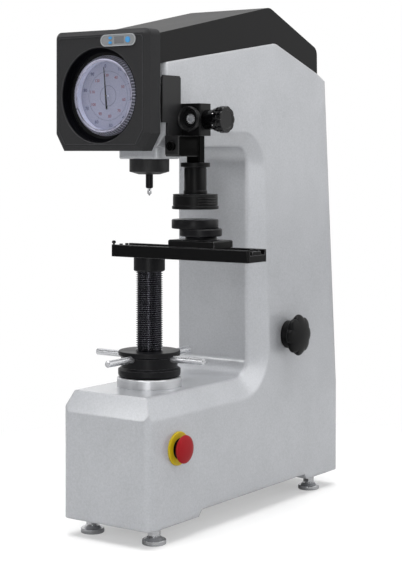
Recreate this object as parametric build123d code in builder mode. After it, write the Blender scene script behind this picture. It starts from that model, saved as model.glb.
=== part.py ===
from build123d import *
import os
from math import cos, pi, radians, sin, tan

os.makedirs("parts", exist_ok=True)

# ---------------------------------------------------------------- driving dimensions, mm
# The row's origin lies on the floor under the middle of the whole machine. Heights are
# measured up from the floor, depths back from the front face of the base and widths from the
# middle plane. A name that ends in rise, out, inset or back is an offset from another place.

running_clearance = 0.05  # radial, between a shaft and its hole
gap = 0.3  # between curved or moving faces of two bodies

# frame
frame_half_width = 82.5
frame_depth = 530.0
frame_bottom = 27.0
floor_relief = 9.0  # the underside is raised between the foot blocks
foot_block_front = 118.0
foot_block_rear = 104.0
relief_slant = 9.0
base_top = 215.0
base_corner_radius = 15.0
front_bevel_depth = 12.0
front_bevel_height = 32.0
side_draft = 0.6  # degrees, each side leans inwards
rear_lean = 3.2  # degrees, the rear face leans forwards
column_depth = 260.0
throat_height = 358.0
throat_lower_radius = 30.0
throat_upper_radius = 22.0
core_inset = 16.5  # the throat is this wide before its side bevels begin
base_bevel_rate = 2.15  # bevel's reach over its inset: along the base
column_bevel_rate = 3.17  # along the column
head_bevel_rate = 1.98  # along the head
head_front = 38.0
head_corner = 9.0
head_brow_radius = 5.0
bevel_outer_radius = 12.0
bevel_inner_radius = 5.0
front_bevel_radius = 3.0
seam_front_rise = 121.0
seam_ridge_back = 191.3
seam_ridge_rise = 166.4
seam_rear_back = 61.0
seam_rear_rise = 123.0
seam_ridge_radius = 30.0
head_rear_radius = 8.0
wall = 10.0
cavity_inset = 22.5

# top cover
cover_front = 30.0
cover_front_top_rise = 163.0
cover_ridge_back = 206.2
cover_ridge_rise = 222.8
cover_rear_top_rise = 164.0
cover_ridge_radius = 26.0
cover_rear_radius = 14.0
cover_wall = 2.5

# rear cover and mains inlet
window_half_width = 46.0
window_bottom = 170.0
window_top_rise = 27.0
rear_cover_lap = 12.0
rear_cover_thick = 2.0
rear_screw_rows = 3
screw_radius = 2.0
screw_head_radius = 3.6
screw_head_height = 2.2
screw_length = 10.0
inlet_height = 112.0
inlet_width = 48.0
inlet_tall = 30.0
inlet_flange = 3.0
inlet_mouth_width = 26.0
inlet_mouth_tall = 18.0
inlet_mouth_depth = 16.0
inlet_body_depth = 22.0

# dial housing
housing_overhang = 5.0
housing_bottom_rise = -6.0
housing_top_rise = 168.0
housing_front = -12.0
housing_back = 17.0
housing_bevel = 7.0
housing_wall = 3.0
housing_foot_x = 15.0
housing_foot_z = 25.0
housing_corner_radius = 10.0
housing_neck_half_width = 56.0
housing_neck_bottom_rise = 19.0
housing_neck_top_rise = 115.0
recess_ring = 9.5  # free width round the bezel
recess_floor = 13.0

# dial gauge
dial_x = -2.0
dial_rise = 74.0
bezel_wall = 5.1  # outside the case
bezel_reach = 3.4  # the lip, in from the case's outside
bezel_rim_width = 2.0
bezel_front = -2.0
bezel_lip = 1.5
bezel_cone = 6.0  # depth of the sloping band
glass_thick = 1.5
case_radius = 53.4
case_wall = 3.0
case_floor = 2.0
dial_plate_thick = 1.0
dial_plate_gap = 0.4
arbor_radius = 1.0
pointer_length = 42.0
pointer_tail = 20.0
pointer_lean = 5.0  # degrees left of upright
pointer_width = 2.4
pointer_tail_width = 2.6
pointer_hub_radius = 2.6
pointer_thick = 0.8
pointer_height = 5.0  # above the dial plate

# control panel
panel_x = 35.0
panel_rise = 152.0
panel_length = 63.0
panel_height = 17.0
panel_thick = 1.4
display_x = 36.9
display_width = 17.8
display_height = 10.2
display_thick = 1.2
round_button_x = 52.7
round_button_radius = 4.3
key_x = 21.0
key_length = 6.0
key_height = 3.8
key_pitch = 6.8
key_proud = 0.8
key_travel = 0.6
key_depth = 4.0

# nose, guard, spindle and indenter
spindle_y = 106.0
nose_half_width = 40.0
nose_front = 76.0
nose_back = 136.0
nose_bottom_rise = -18.0
nose_radius = 12.0
guard_radius = 30.0
guard_straight = 19.0
guard_cone = 4.0
guard_mouth_radius = 16.0
guard_bore = 8.0
guard_wall = 3.0
bush_radius = 15.0
bush_top_rise = 45.0
spindle_radius = 8.0
spindle_nose_radius = 5.5
spindle_nose_top_rise = -28.0
spindle_bottom_rise = -62.0
spindle_top_rise = 77.0
spindle_stop_radius = 13.0
spindle_stop = 6.0
indenter_radius = 3.25
indenter_tip_rise = -73.4
indenter_cone = 3.6
indenter_shank_radius = 2.4
indenter_shank = 14.0

# load train inside the frame
lever_pivot_y = 76.0
lever_pin_rise = 91.0
lever_pin_radius = 5.0
lever_height = 24.0
lever_thick = 14.0
lever_tip = 14.0  # past the pivot and past the hanger
hanger_back = 84.0
pivot_post_thick = 12.0
pivot_post_depth = 18.0
hanger_rod_radius = 5.0
hanger_bottom = 128.0
hanger_plate_radius = 30.0
hanger_plate = 8.0
weight_radius = 42.0
weight_height = 26.0
weight_count = 5
hook_width = 26.0
buffer_clearance = 8.0  # from the column's front wall
buffer_radius = 24.0
buffer_height = 190.0
buffer_rod_radius = 4.0
motor_y = 200.0
motor_z = 92.0
motor_radius = 30.0
motor_length = 84.0
motor_saddle_height = 22.0

# elevating screw, handwheel and slide
screw_radius_major = 20.0
screw_bottom_rise = -50.0
collar_lap = 8.0
boss_radius = 48.5
boss_height = 14.0
boss_spigot_radius = 32.0
boss_bottom_rise = -63.0
bearing_radius = 32.0
bearing_bore = 22.0
bearing_height = 8.0
wheel_radius = 47.0
wheel_disc = 11.5
wheel_waist_radius = 42.5
wheel_waist_slope = 3.0
wheel_waist = 21.0
wheel_top_radius = 46.5
wheel_top_rise = 53.0
wheel_round = 5.0
rod_radius = 5.0
rod_rise = 29.0  # above the underside of the wheel
rod_reach = 101.0
rod_root = 29.0
rod_count = 4
collar_radius = 23.5
collar_height = 21.0
rail_left = -54.0
rail_right_out = 118.1
rail_width = 50.0
rail_corner = 3.0
rail_height = 18.0
rail_ridge = 6.0
rail_channel = 8.0
stop_length = 8.0
stop_width = 22.0
stop_height = 6.0
carriage_out = 18.1
carriage_length = 82.0
carriage_top_width = 48.0
carriage_plate = 11.0

# anvil
anvil_out = 19.1
anvil_plate_out = 8.6
socket_radius = 24.5
socket_height = 5.5
stem_radius = 9.0
seat_radius = 31.0
seat_height = 11.0
plate_radius = 34.5
plate_height = 13.5
anvil_chamfer = 1.2

# measuring microscope, right of the head
scope_out = 9.1
bracket_inset = 6.6
bracket_thick = 3.1
bracket_front = 34.0
bracket_back = 104.0
bracket_bottom_rise = 16.0
bracket_top_rise = 103.0
bracket_tab_back = 78.0
bracket_notch_back = 46.0
bracket_notch_rise = 35.0
block_right_out = 36.1
block_front = 80.0
block_back = 108.0
block_top_rise = 63.0
clamp_right_out = 23.1
clamp_front = 44.0
clamp_bottom_rise = -14.0
clamp_screw_out = 12.1
clamp_screw_rise = 1.0
clamp_screw_radius = 6.8
clamp_screw_head = 6.0
clamp_screw_shank = 3.0
clamp_screw_length = 16.0
eyepiece_out = 21.6
eyepiece_rise = 40.6
eyepiece_radius = 18.0
eyepiece_front = 68.0
eyepiece_bore = 12.5
eyepiece_flange_radius = 16.0
lens_radius = 7.5
lens_thick = 3.0
drum_y = 97.0
drum_rise = 39.5
neck_radius = 14.5
neck_right_out = 52.1
drum_radius = 19.5
drum_right_out = 72.1
drum_collar_radius = 17.5
drum_collar = 6.0
arm_left_out = 1.1
arm_right_out = 25.1
arm_front = 94.0
arm_bottom_rise = -23.0
tube_radius = 16.5
tube_ring_radius = 21.75
tube_ring_bottom_rise = -30.0
tube_bottom_rise = -69.0
objective_radius = 33.0
objective_lip_radius = 34.5
objective_lip_top_rise = -86.0
objective_bottom_rise = -91.0
objective_bore = 15.0
measuring_gap = 15.0  # from the anvil up to the objective
objective_lens = 4.0

# emergency stop
stop_y = 68.0
stop_z = 136.0
stop_inset = 1.5
stop_ring_radius = 24.5
stop_ring_thick = 3.0
stop_neck_radius = 15.0
stop_neck_length = 3.4
stop_cap_radius = 20.5
stop_cap_edge = 5.0
stop_cap_dome = 5.0
stop_stem_radius = 6.0
stop_stem_depth = 16.0
stop_travel = 4.0

# force selector
knob_back = 160.0
knob_z = 271.0
knob_inset = 3.3
knob_hub_radius = 22.0
knob_hub_length = 12.0
knob_radius = 34.0
knob_lobes = 8
knob_scallop_radius = 9.0
knob_thick = 18.0
knob_dome = 3.5
knob_shaft_radius = 6.0
knob_shaft_end = 14.0
cam_radius = 24.0
cam_lobe = 8.0
cam_thick = 12.0

# feet
foot_inset = 25.0
foot_front = 42.0
foot_rear_back = 59.0
foot_pad_radius = 17.5
foot_pad_height = 7.0
foot_cone = 3.5
foot_stud_radius = 6.0
foot_stud_top = 48.0
foot_nut_radius = 10.0
foot_nut_bottom = 12.5
foot_nut_height = 8.0

# ---------------------------------------------------------------- places worked out from these
# Heights of the head's parts are measured from the throat's ceiling, those of the screw's
# drive from the base's top. Right-hand parts are measured from the frame's side or from the
# microscope's seat on it, and rear parts from the rear face.
throat_ceiling = base_top + throat_height
seam_front = throat_ceiling + seam_front_rise
seam_ridge = throat_ceiling + seam_ridge_rise
seam_rear = throat_ceiling + seam_rear_rise
cover_front_top = throat_ceiling + cover_front_top_rise
cover_ridge = throat_ceiling + cover_ridge_rise
cover_rear_top = throat_ceiling + cover_rear_top_rise
window_top = throat_ceiling + window_top_rise
housing_bottom = throat_ceiling + housing_bottom_rise
housing_top = throat_ceiling + housing_top_rise
housing_neck_bottom = throat_ceiling + housing_neck_bottom_rise
housing_neck_top = throat_ceiling + housing_neck_top_rise
dial_z = throat_ceiling + dial_rise
panel_z = throat_ceiling + panel_rise
nose_bottom = throat_ceiling + nose_bottom_rise
bush_top = throat_ceiling + bush_top_rise
spindle_nose_top = throat_ceiling + spindle_nose_top_rise
spindle_bottom = throat_ceiling + spindle_bottom_rise
spindle_top = throat_ceiling + spindle_top_rise
indenter_tip = throat_ceiling + indenter_tip_rise
lever_pin_z = throat_ceiling + lever_pin_rise
bracket_bottom = throat_ceiling + bracket_bottom_rise
bracket_top = throat_ceiling + bracket_top_rise
bracket_notch = throat_ceiling + bracket_notch_rise
block_top = throat_ceiling + block_top_rise
clamp_bottom = throat_ceiling + clamp_bottom_rise
clamp_screw_z = throat_ceiling + clamp_screw_rise
eyepiece_z = throat_ceiling + eyepiece_rise
drum_z = throat_ceiling + drum_rise
arm_bottom = throat_ceiling + arm_bottom_rise
tube_ring_bottom = throat_ceiling + tube_ring_bottom_rise
tube_bottom = throat_ceiling + tube_bottom_rise
objective_lip_top = throat_ceiling + objective_lip_top_rise
objective_bottom = throat_ceiling + objective_bottom_rise
wheel_top = base_top + wheel_top_rise
screw_bottom = base_top + screw_bottom_rise
boss_bottom = base_top + boss_bottom_rise
core_half_width = frame_half_width - core_inset
cavity_half_width = frame_half_width - cavity_inset
bracket_seat = frame_half_width - bracket_inset
stop_seat = frame_half_width - stop_inset
knob_seat = frame_half_width - knob_inset
foot_x = frame_half_width - foot_inset
block_right = bracket_seat + block_right_out
clamp_right = bracket_seat + clamp_right_out
clamp_screw_x = bracket_seat + clamp_screw_out
eyepiece_x = bracket_seat + eyepiece_out
neck_right = bracket_seat + neck_right_out
drum_right = bracket_seat + drum_right_out
arm_left = bracket_seat + arm_left_out
arm_right = bracket_seat + arm_right_out
carriage_x = bracket_seat + carriage_out
anvil_x = bracket_seat + anvil_out
anvil_plate_x = bracket_seat + anvil_plate_out
rail_right = bracket_seat + rail_right_out
scope_x = bracket_seat + scope_out
throat_y = frame_depth - column_depth
seam_ridge_y = frame_depth - seam_ridge_back
seam_rear_y = frame_depth - seam_rear_back
cover_ridge_y = frame_depth - cover_ridge_back
hanger_y = frame_depth - hanger_back
buffer_y = throat_y + wall + buffer_clearance + buffer_radius
knob_y = frame_depth - knob_back
foot_rear = frame_depth - foot_rear_back
housing_half_width = frame_half_width + housing_overhang
anvil_stack = rail_height + carriage_plate + socket_height + seat_height + plate_height
collar_top = objective_bottom - measuring_gap - anvil_stack
collar_bottom = collar_top - collar_height
screw_top = collar_top - collar_lap
mid_x = (rod_reach - rail_right) / 2  # the machine's middle plane
front_y = -(frame_depth + housing_front) / 2  # the base's front face

bezel_radius = case_radius + bezel_wall
bezel_lip_radius = case_radius - bezel_reach
bezel_rim_radius = bezel_lip_radius + bezel_rim_width
dial_plate_radius = case_radius - case_wall - dial_plate_gap
recess_radius = bezel_radius + recess_ring

# ---------------------------------------------------------------- planes
floor = Plane(origin=(mid_x, front_y, 0))
side = Plane(origin=(mid_x, front_y, 0), x_dir=(0, 1, 0), z_dir=(1, 0, 0))
spindle_floor = Plane(origin=(mid_x, front_y + spindle_y, 0))


def front(depth):
    """A plane facing forwards, this far behind the base's front face."""
    return Plane(origin=(mid_x, front_y + depth, 0), x_dir=(1, 0, 0), z_dir=(0, -1, 0))


def half_width(height):
    """Half the frame's width at this height."""
    return frame_half_width - (height - frame_bottom) * tan(radians(side_draft))


def rear_at(height):
    """Depth of the leaning rear face at this height."""
    return frame_depth - (height - frame_bottom) * tan(radians(rear_lean))


underside = frame_bottom + floor_relief
cavity_floor = underside + wall
overall_top = cover_ridge + wall
seam_rise = (seam_ridge - seam_front) / (seam_ridge_y - head_front)
seam_corner = seam_rear - (rear_at(seam_rear) - seam_rear_y) / 2
cutter_x = frame_half_width + wall  # the bevel cutters reach past the side faces
cutter_reach = cutter_x - core_half_width



def bevel_line(edge, half_width_here):
    """Whether an edge is one of the throat bevels' long lines, this far from the middle."""
    place = edge.center() - Vector(mid_x, front_y, 0)
    on_line = abs(abs(place.X) - half_width_here(place.Z)) < wall / 4
    in_throat = head_front < place.Y < throat_y + cutter_reach * column_bevel_rate
    between = base_top - front_bevel_height <= place.Z < seam_front
    return on_line and in_throat and between and edge.length > front_bevel_height


# ---------------------------------------------------------------- frame
with BuildPart() as throat_bevel:
    # On each side the throat opens outwards: a ruled wedge between its section at the core
    # and its wider section outside the side face.
    for outwards in (0, cutter_reach):
        low = base_top - outwards * base_bevel_rate
        back = throat_y + outwards * column_bevel_rate
        high = throat_ceiling + outwards * head_bevel_rate
        lower_radius = throat_lower_radius + outwards * column_bevel_rate
        upper_radius = throat_upper_radius + outwards * column_bevel_rate
        with BuildSketch(side.offset(core_half_width + outwards)):
            with BuildLine():
                Line((-wall, high), (-wall, low))
                Line((-wall, low), (back - lower_radius, low))
                RadiusArc((back - lower_radius, low), (back, low + lower_radius), -lower_radius)
                Line((back, low + lower_radius), (back, high - upper_radius))
                RadiusArc((back, high - upper_radius), (back - upper_radius, high), -upper_radius)
                Line((back - upper_radius, high), (-wall, high))
            make_face()
    loft(ruled=True)
    mirror(about=side)

with BuildPart() as frame_casting:
    with BuildSketch(side):
        with BuildLine():
            Polyline(
                (0, frame_bottom),
                (0, base_top),
                (throat_y, base_top),
                (throat_y, throat_ceiling),
                (head_front, throat_ceiling),
                (head_front, seam_front),
                (seam_ridge_y, seam_ridge),
                (seam_rear_y, seam_rear),
                (rear_at(seam_corner), seam_corner),
                (frame_depth, frame_bottom),
                (frame_depth - foot_block_rear, frame_bottom),
                (frame_depth - foot_block_rear - relief_slant, underside),
                (foot_block_front + relief_slant, underside),
                (foot_block_front, frame_bottom),
                close=True,
            )
        make_face()
        for corner, radius in (
            ((throat_y, base_top), throat_lower_radius),
            ((throat_y, throat_ceiling), throat_upper_radius),
            ((seam_ridge_y, seam_ridge), seam_ridge_radius),
            ((head_front, seam_front), head_brow_radius),
        ):
            fillet(vertices().sort_by_distance((*corner, 0))[0], radius)
    extrude(amount=frame_half_width, both=True)
    # the two sides lean inwards, and the plan's corners are round
    with BuildSketch(front(frame_depth)):
        with BuildLine():
            Polyline(
                (-frame_half_width, frame_bottom),
                (frame_half_width, frame_bottom),
                (half_width(overall_top), overall_top),
                (-half_width(overall_top), overall_top),
                close=True,
            )
        make_face()
    extrude(amount=frame_depth, mode=Mode.INTERSECT)
    with BuildSketch(floor):
        with Locations((0, frame_depth / 2)):
            RectangleRounded(2 * frame_half_width, frame_depth, base_corner_radius)
    extrude(amount=overall_top, mode=Mode.INTERSECT)
    add(throat_bevel.part, mode=Mode.SUBTRACT)
    # the base's front bevel
    with BuildSketch(side):
        with BuildLine():
            Polyline(
                (0, base_top - front_bevel_height),
                (front_bevel_depth, base_top),
                (front_bevel_depth, base_top + wall),
                (-wall, base_top + wall),
                (-wall, base_top - front_bevel_height),
                close=True,
            )
        make_face()
    extrude(amount=frame_half_width, both=True, mode=Mode.SUBTRACT)
    # the head's two front corners
    with BuildSketch(floor.offset(throat_ceiling - wall)):
        for hand in (-1, 1):
            with BuildLine():
                corner_x = hand * (half_width(seam_front) - head_corner)
                Polyline(
                    (corner_x, head_front),
                    (corner_x + 3 * hand * head_corner, head_front + 3 * head_corner),
                    (corner_x + 3 * hand * head_corner, head_front - wall),
                    (corner_x, head_front - wall),
                    close=True,
                )
            make_face()
    extrude(amount=overall_top - throat_ceiling, mode=Mode.SUBTRACT)
    # the bevels' lines are rounded, softly outside and tightly inside
    fillet(edges().filter_by(lambda e: bevel_line(e, half_width)), bevel_outer_radius)
    fillet(edges().filter_by(lambda e: bevel_line(e, lambda z: core_half_width)), bevel_inner_radius)
    brow = (mid_x, front_y, base_top - front_bevel_height)
    fillet(edges().filter_by(Axis.X).sort_by_distance(brow)[0], front_bevel_radius)
    # the cavity, open at the top and through the rear window
    with BuildSketch(side):
        with BuildLine():
            Polyline(
                (wall, cavity_floor),
                (wall, base_top - front_bevel_height),
                (wall + front_bevel_depth, base_top - wall),
                (throat_y + wall, base_top - wall),
                (throat_y + wall, throat_ceiling + wall),
                (head_front + wall, throat_ceiling + wall),
                (head_front + wall, overall_top),
                (seam_rear_y - wall, overall_top),
                (seam_rear_y - wall, seam_rear - wall),
                (rear_at(seam_rear) - 2 * wall, seam_rear - 4 * wall),
                (frame_depth - 1.2 * wall, cavity_floor),
                close=True,
            )
        make_face()
    extrude(amount=cavity_half_width, both=True, mode=Mode.SUBTRACT)
    window_height = window_top - window_bottom
    window_middle = (window_top + window_bottom) / 2
    rear_face = Plane(
        origin=(mid_x, front_y + rear_at(window_middle), window_middle),
        x_dir=(-1, 0, 0),
        z_dir=(0, cos(radians(rear_lean)), sin(radians(rear_lean))),
    )
    with BuildSketch(rear_face):
        RectangleRounded(2 * window_half_width, window_height, wall / 2)
    extrude(amount=-3 * wall, mode=Mode.SUBTRACT)
    # holes for the rear cover's screws
    screw_pitch_x = 2 * window_half_width + rear_cover_lap
    screw_pitch_z = (window_height + rear_cover_lap) / (rear_screw_rows - 1)
    with Locations(rear_face):
        with GridLocations(screw_pitch_x, screw_pitch_z, 2, rear_screw_rows):
            Hole(screw_radius, depth=screw_length)
    # the seat of the mains inlet
    inlet_face = Plane(
        origin=(mid_x, front_y + rear_at(inlet_height), inlet_height),
        x_dir=(-1, 0, 0),
        z_dir=rear_face.z_dir,
    )
    with BuildSketch(inlet_face):
        Rectangle(inlet_mouth_width + 2 * inlet_flange, inlet_mouth_tall + 2 * inlet_flange)
    extrude(amount=-3 * wall, mode=Mode.SUBTRACT)
    # bores of the screw boss and the spindle bush
    with Locations(spindle_floor.offset(base_top)):
        Hole(boss_spigot_radius, depth=2 * wall)
    with BuildSketch(spindle_floor.offset(throat_ceiling - wall)):
        Circle(bush_radius)
    extrude(amount=3 * wall, mode=Mode.SUBTRACT)
    # flats and holes for the stop, the force selector and the microscope's bracket
    with BuildSketch(side.offset(stop_seat)):
        with Locations((stop_y, stop_z)):
            Circle(stop_ring_radius + gap)
    extrude(amount=2 * wall, mode=Mode.SUBTRACT)
    with BuildSketch(side.offset(stop_seat)):
        with Locations((stop_y, stop_z)):
            Circle(stop_stem_radius + running_clearance)
    extrude(amount=-3 * wall, mode=Mode.SUBTRACT)
    with BuildSketch(side.offset(knob_seat)):
        with Locations((knob_y, knob_z)):
            Circle(knob_hub_radius + gap)
    extrude(amount=2 * wall, mode=Mode.SUBTRACT)
    with BuildSketch(side.offset(knob_seat)):
        with Locations((knob_y, knob_z)):
            Circle(knob_shaft_radius + running_clearance)
    extrude(amount=-3 * wall, mode=Mode.SUBTRACT)
    with BuildSketch(side.offset(bracket_seat)):
        with BuildLine():
            Polyline(
                (0, throat_ceiling),
                (bracket_back + gap, throat_ceiling),
                (bracket_back + gap, bracket_top + gap),
                (0, bracket_top + gap),
                close=True,
            )
        make_face()
    extrude(amount=wall, mode=Mode.SUBTRACT)
    # threaded holes of the feet
    foot_places = [(x, y) for x in (-foot_x, foot_x) for y in (foot_front, foot_rear)]
    with BuildSketch(floor):
        with Locations(*foot_places):
            Circle(foot_stud_radius + running_clearance)
    extrude(amount=foot_stud_top + gap, mode=Mode.SUBTRACT)
frame_casting.part.label = "frame_casting"
export_step(frame_casting.part, "parts/frame_casting.step")

# ---------------------------------------------------------------- covers of the frame
with BuildPart() as top_cover:
    with BuildSketch(side):
        with BuildLine():
            Polyline(
                (cover_front, seam_front - seam_rise * (head_front - cover_front)),
                (cover_front, cover_front_top),
                (cover_ridge_y, cover_ridge),
                (seam_rear_y, cover_rear_top),
                (seam_rear_y, seam_rear),
                (seam_ridge_y, seam_ridge),
                close=True,
            )
        make_face()
        for corner, radius in (
            ((cover_ridge_y, cover_ridge), cover_ridge_radius),
            ((seam_rear_y, cover_rear_top), cover_rear_radius),
            ((seam_ridge_y, seam_ridge), seam_ridge_radius),
        ):
            fillet(vertices().sort_by_distance((*corner, 0))[0], radius)
    extrude(amount=frame_half_width, both=True)
    with BuildSketch(front(frame_depth)):
        with BuildLine():
            Polyline(
                (-frame_half_width, frame_bottom),
                (frame_half_width, frame_bottom),
                (half_width(overall_top), overall_top),
                (-half_width(overall_top), overall_top),
                close=True,
            )
        make_face()
    extrude(amount=frame_depth, mode=Mode.INTERSECT)
    # hollow from below, up to one wall under the roof
    with BuildSketch(side):
        with BuildLine():
            Polyline(
                (cover_front + cover_wall, seam_front - wall),
                (cover_front + cover_wall, cover_front_top - cover_wall),
                (cover_ridge_y, cover_ridge - 2 * cover_wall),
                (seam_rear_y - cover_wall, cover_rear_top - 3 * cover_wall),
                (seam_rear_y - cover_wall, seam_rear - wall),
                close=True,
            )
        make_face()
    extrude(amount=half_width(cover_ridge) - cover_wall, both=True, mode=Mode.SUBTRACT)
top_cover.part.label = "top_cover"
export_step(top_cover.part, "parts/top_cover.step")

with BuildPart() as rear_cover:
    with BuildSketch(rear_face):
        RectangleRounded(
            2 * (window_half_width + rear_cover_lap), window_height + 2 * rear_cover_lap, wall / 2
        )
    extrude(amount=rear_cover_thick)
    with Locations(rear_face.offset(rear_cover_thick)):
        with GridLocations(screw_pitch_x, screw_pitch_z, 2, rear_screw_rows):
            Hole(screw_radius)
rear_cover.part.label = "rear_cover"
export_step(rear_cover.part, "parts/rear_cover.step")

with BuildPart() as rear_cover_screws:
    with BuildSketch(rear_face.offset(rear_cover_thick)):
        with GridLocations(screw_pitch_x, screw_pitch_z, 2, rear_screw_rows):
            Circle(screw_head_radius)
    extrude(amount=screw_head_height)
    with BuildSketch(rear_face.offset(rear_cover_thick)):
        with GridLocations(screw_pitch_x, screw_pitch_z, 2, rear_screw_rows):
            Circle(screw_radius)
    extrude(amount=-screw_length)
rear_cover_screws.part.label = "rear_cover_screws"
export_step(rear_cover_screws.part, "parts/rear_cover_screws.step")

with BuildPart() as power_inlet:
    with BuildSketch(inlet_face):
        RectangleRounded(inlet_width, inlet_tall, inlet_flange)
    extrude(amount=inlet_flange)
    with BuildSketch(inlet_face):
        Rectangle(inlet_mouth_width + 2 * inlet_flange, inlet_mouth_tall + 2 * inlet_flange)
    extrude(amount=-inlet_body_depth)
    with BuildSketch(inlet_face.offset(inlet_flange)):
        Rectangle(inlet_mouth_width, inlet_mouth_tall)
        chamfer(vertices().group_by(Axis.Y)[-1], inlet_flange)
    extrude(amount=-inlet_mouth_depth, mode=Mode.SUBTRACT)
power_inlet.part.label = "power_inlet"
export_step(power_inlet.part, "parts/power_inlet.step")

# ---------------------------------------------------------------- dial housing and panel
keys = {
    "round_button": (round_button_x, panel_z),
    "upper_key": (key_x, panel_z + key_pitch / 2),
    "lower_key": (key_x, panel_z - key_pitch / 2),
}

with BuildPart() as dial_housing:
    with BuildSketch(front(housing_back)):
        with BuildLine():
            Polyline(
                (-housing_half_width + housing_foot_x, housing_bottom),
                (housing_half_width - housing_foot_x, housing_bottom),
                (housing_half_width, housing_bottom + housing_foot_z),
                (housing_half_width, housing_top),
                (-housing_half_width, housing_top),
                (-housing_half_width, housing_bottom + housing_foot_z),
                close=True,
            )
        make_face()
        fillet(vertices().group_by(Axis.Y)[-1], housing_corner_radius)
    extrude(amount=housing_back - housing_front)
    front_edges = faces().filter_by(Axis.Y).sort_by(Axis.Y)[0].edges()
    chamfer(front_edges, housing_bevel)
    # the round recess of the dial gauge, with a broken edge
    with BuildSketch(front(recess_floor)):
        with Locations((dial_x, dial_z)):
            Circle(recess_radius)
    extrude(amount=recess_floor - housing_front, mode=Mode.SUBTRACT)
    recess_edge = edges().filter_by(GeomType.CIRCLE).group_by(Axis.Y)[0].sort_by(Edge.length)[-1]
    chamfer(recess_edge, cover_wall / 2)
    # the neck that stands off the head
    with BuildSketch(front(head_front)):
        with Locations((0, (housing_neck_bottom + housing_neck_top) / 2)):
            RectangleRounded(
                2 * housing_neck_half_width, housing_neck_top - housing_neck_bottom, wall / 2
            )
    extrude(amount=head_front - housing_back)
    # pockets behind the keys
    with BuildSketch(front(housing_front)):
        for place in keys.values():
            with Locations(place):
                Circle(round_button_radius + gap / 3)
    extrude(amount=-key_depth, mode=Mode.SUBTRACT)
dial_housing.part.label = "dial_housing"
export_step(dial_housing.part, "parts/dial_housing.step")

with BuildPart() as control_panel:
    with BuildSketch(front(housing_front)):
        with Locations((panel_x, panel_z)):
            SlotOverall(panel_length, panel_height)
        with Locations((display_x, panel_z)):
            Rectangle(display_width, display_height, mode=Mode.SUBTRACT)
        with Locations(keys["round_button"]):
            Circle(round_button_radius + running_clearance, mode=Mode.SUBTRACT)
        with Locations(keys["upper_key"], keys["lower_key"]):
            SlotOverall(
                key_length + 2 * running_clearance,
                key_height + 2 * running_clearance,
                mode=Mode.SUBTRACT,
            )
    extrude(amount=panel_thick)
control_panel.part.label = "control_panel"
export_step(control_panel.part, "parts/control_panel.step")

with BuildPart() as display_window:
    with BuildSketch(front(housing_front)):
        with Locations((display_x, panel_z)):
            Rectangle(display_width, display_height)
    extrude(amount=display_thick)
display_window.part.label = "display_window"
export_step(display_window.part, "parts/display_window.step")

key_seat = housing_front + key_travel + gap
key_face = panel_thick + key_proud + key_travel + gap
with BuildPart() as round_button:
    with BuildSketch(front(key_seat)):
        with Locations(keys["round_button"]):
            Circle(round_button_radius)
    extrude(amount=key_face)
    fillet(edges().filter_by(GeomType.CIRCLE).group_by(Axis.Y)[0], key_proud / 2)
round_button.part.label = "round_button"
export_step(round_button.part, "parts/round_button.step")

with BuildPart() as upper_key:
    with BuildSketch(front(key_seat)):
        with Locations(keys["upper_key"]):
            SlotOverall(key_length, key_height)
    extrude(amount=key_face)
    fillet(faces().filter_by(Axis.Y).sort_by(Axis.Y)[0].edges(), key_proud / 2)
upper_key.part.label = "upper_key"
export_step(upper_key.part, "parts/upper_key.step")

with BuildPart() as lower_key:
    with BuildSketch(front(key_seat)):
        with Locations(keys["lower_key"]):
            SlotOverall(key_length, key_height)
    extrude(amount=key_face)
    fillet(faces().filter_by(Axis.Y).sort_by(Axis.Y)[0].edges(), key_proud / 2)
lower_key.part.label = "lower_key"
export_step(lower_key.part, "parts/lower_key.step")

# ---------------------------------------------------------------- dial gauge
plate_back = recess_floor - case_floor
plate_front = plate_back - dial_plate_thick
glass_back = bezel_front + bezel_lip + glass_thick
case_front = glass_back + gap
pointer_back = plate_front - pointer_height
lean = pointer_lean * pi / 180


def dial_plane(depth):
    """A forward-facing plane on the dial's axis."""
    return Plane(
        origin=(mid_x + dial_x, front_y + depth, dial_z), x_dir=(1, 0, 0), z_dir=(0, -1, 0)
    )


with BuildPart() as gauge_case:
    with BuildSketch(dial_plane(recess_floor)):
        Circle(case_radius)
    extrude(amount=recess_floor - case_front)
    with BuildSketch(dial_plane(plate_back)):
        Circle(case_radius - case_wall)
    extrude(amount=plate_back - case_front, mode=Mode.SUBTRACT)
    with BuildSketch(dial_plane(plate_back)):
        Circle(arbor_radius)
    extrude(amount=dial_plate_thick + pointer_height / 2)
gauge_case.part.label = "gauge_case"
export_step(gauge_case.part, "parts/gauge_case.step")

with BuildPart() as dial_plate:
    with BuildSketch(dial_plane(plate_back)):
        Circle(dial_plate_radius)
        Circle(arbor_radius + gap, mode=Mode.SUBTRACT)
    extrude(amount=dial_plate_thick)
dial_plate.part.label = "dial_plate"
export_step(dial_plate.part, "parts/dial_plate.step")

with BuildPart() as pointer:
    with BuildSketch(dial_plane(pointer_back)):
        with BuildLine():
            Polyline(
                (-pointer_width / 2, 0),
                (-pointer_length * sin(lean), pointer_length * cos(lean)),
                (pointer_width / 2, 0),
                (pointer_tail_width / 2, -pointer_tail),
                (-pointer_tail_width / 2, -pointer_tail),
                close=True,
            )
        make_face()
        Circle(pointer_hub_radius)
    extrude(amount=pointer_thick)
    with BuildSketch(dial_plane(pointer_back)):
        Circle(pointer_hub_radius)
    extrude(amount=-pointer_height + gap)
    with BuildSketch(dial_plane(plate_front)):
        Circle(arbor_radius + running_clearance)
    extrude(amount=pointer_height / 2 + gap, mode=Mode.SUBTRACT)
pointer.part.label = "pointer"
export_step(pointer.part, "parts/pointer.step")

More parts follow.
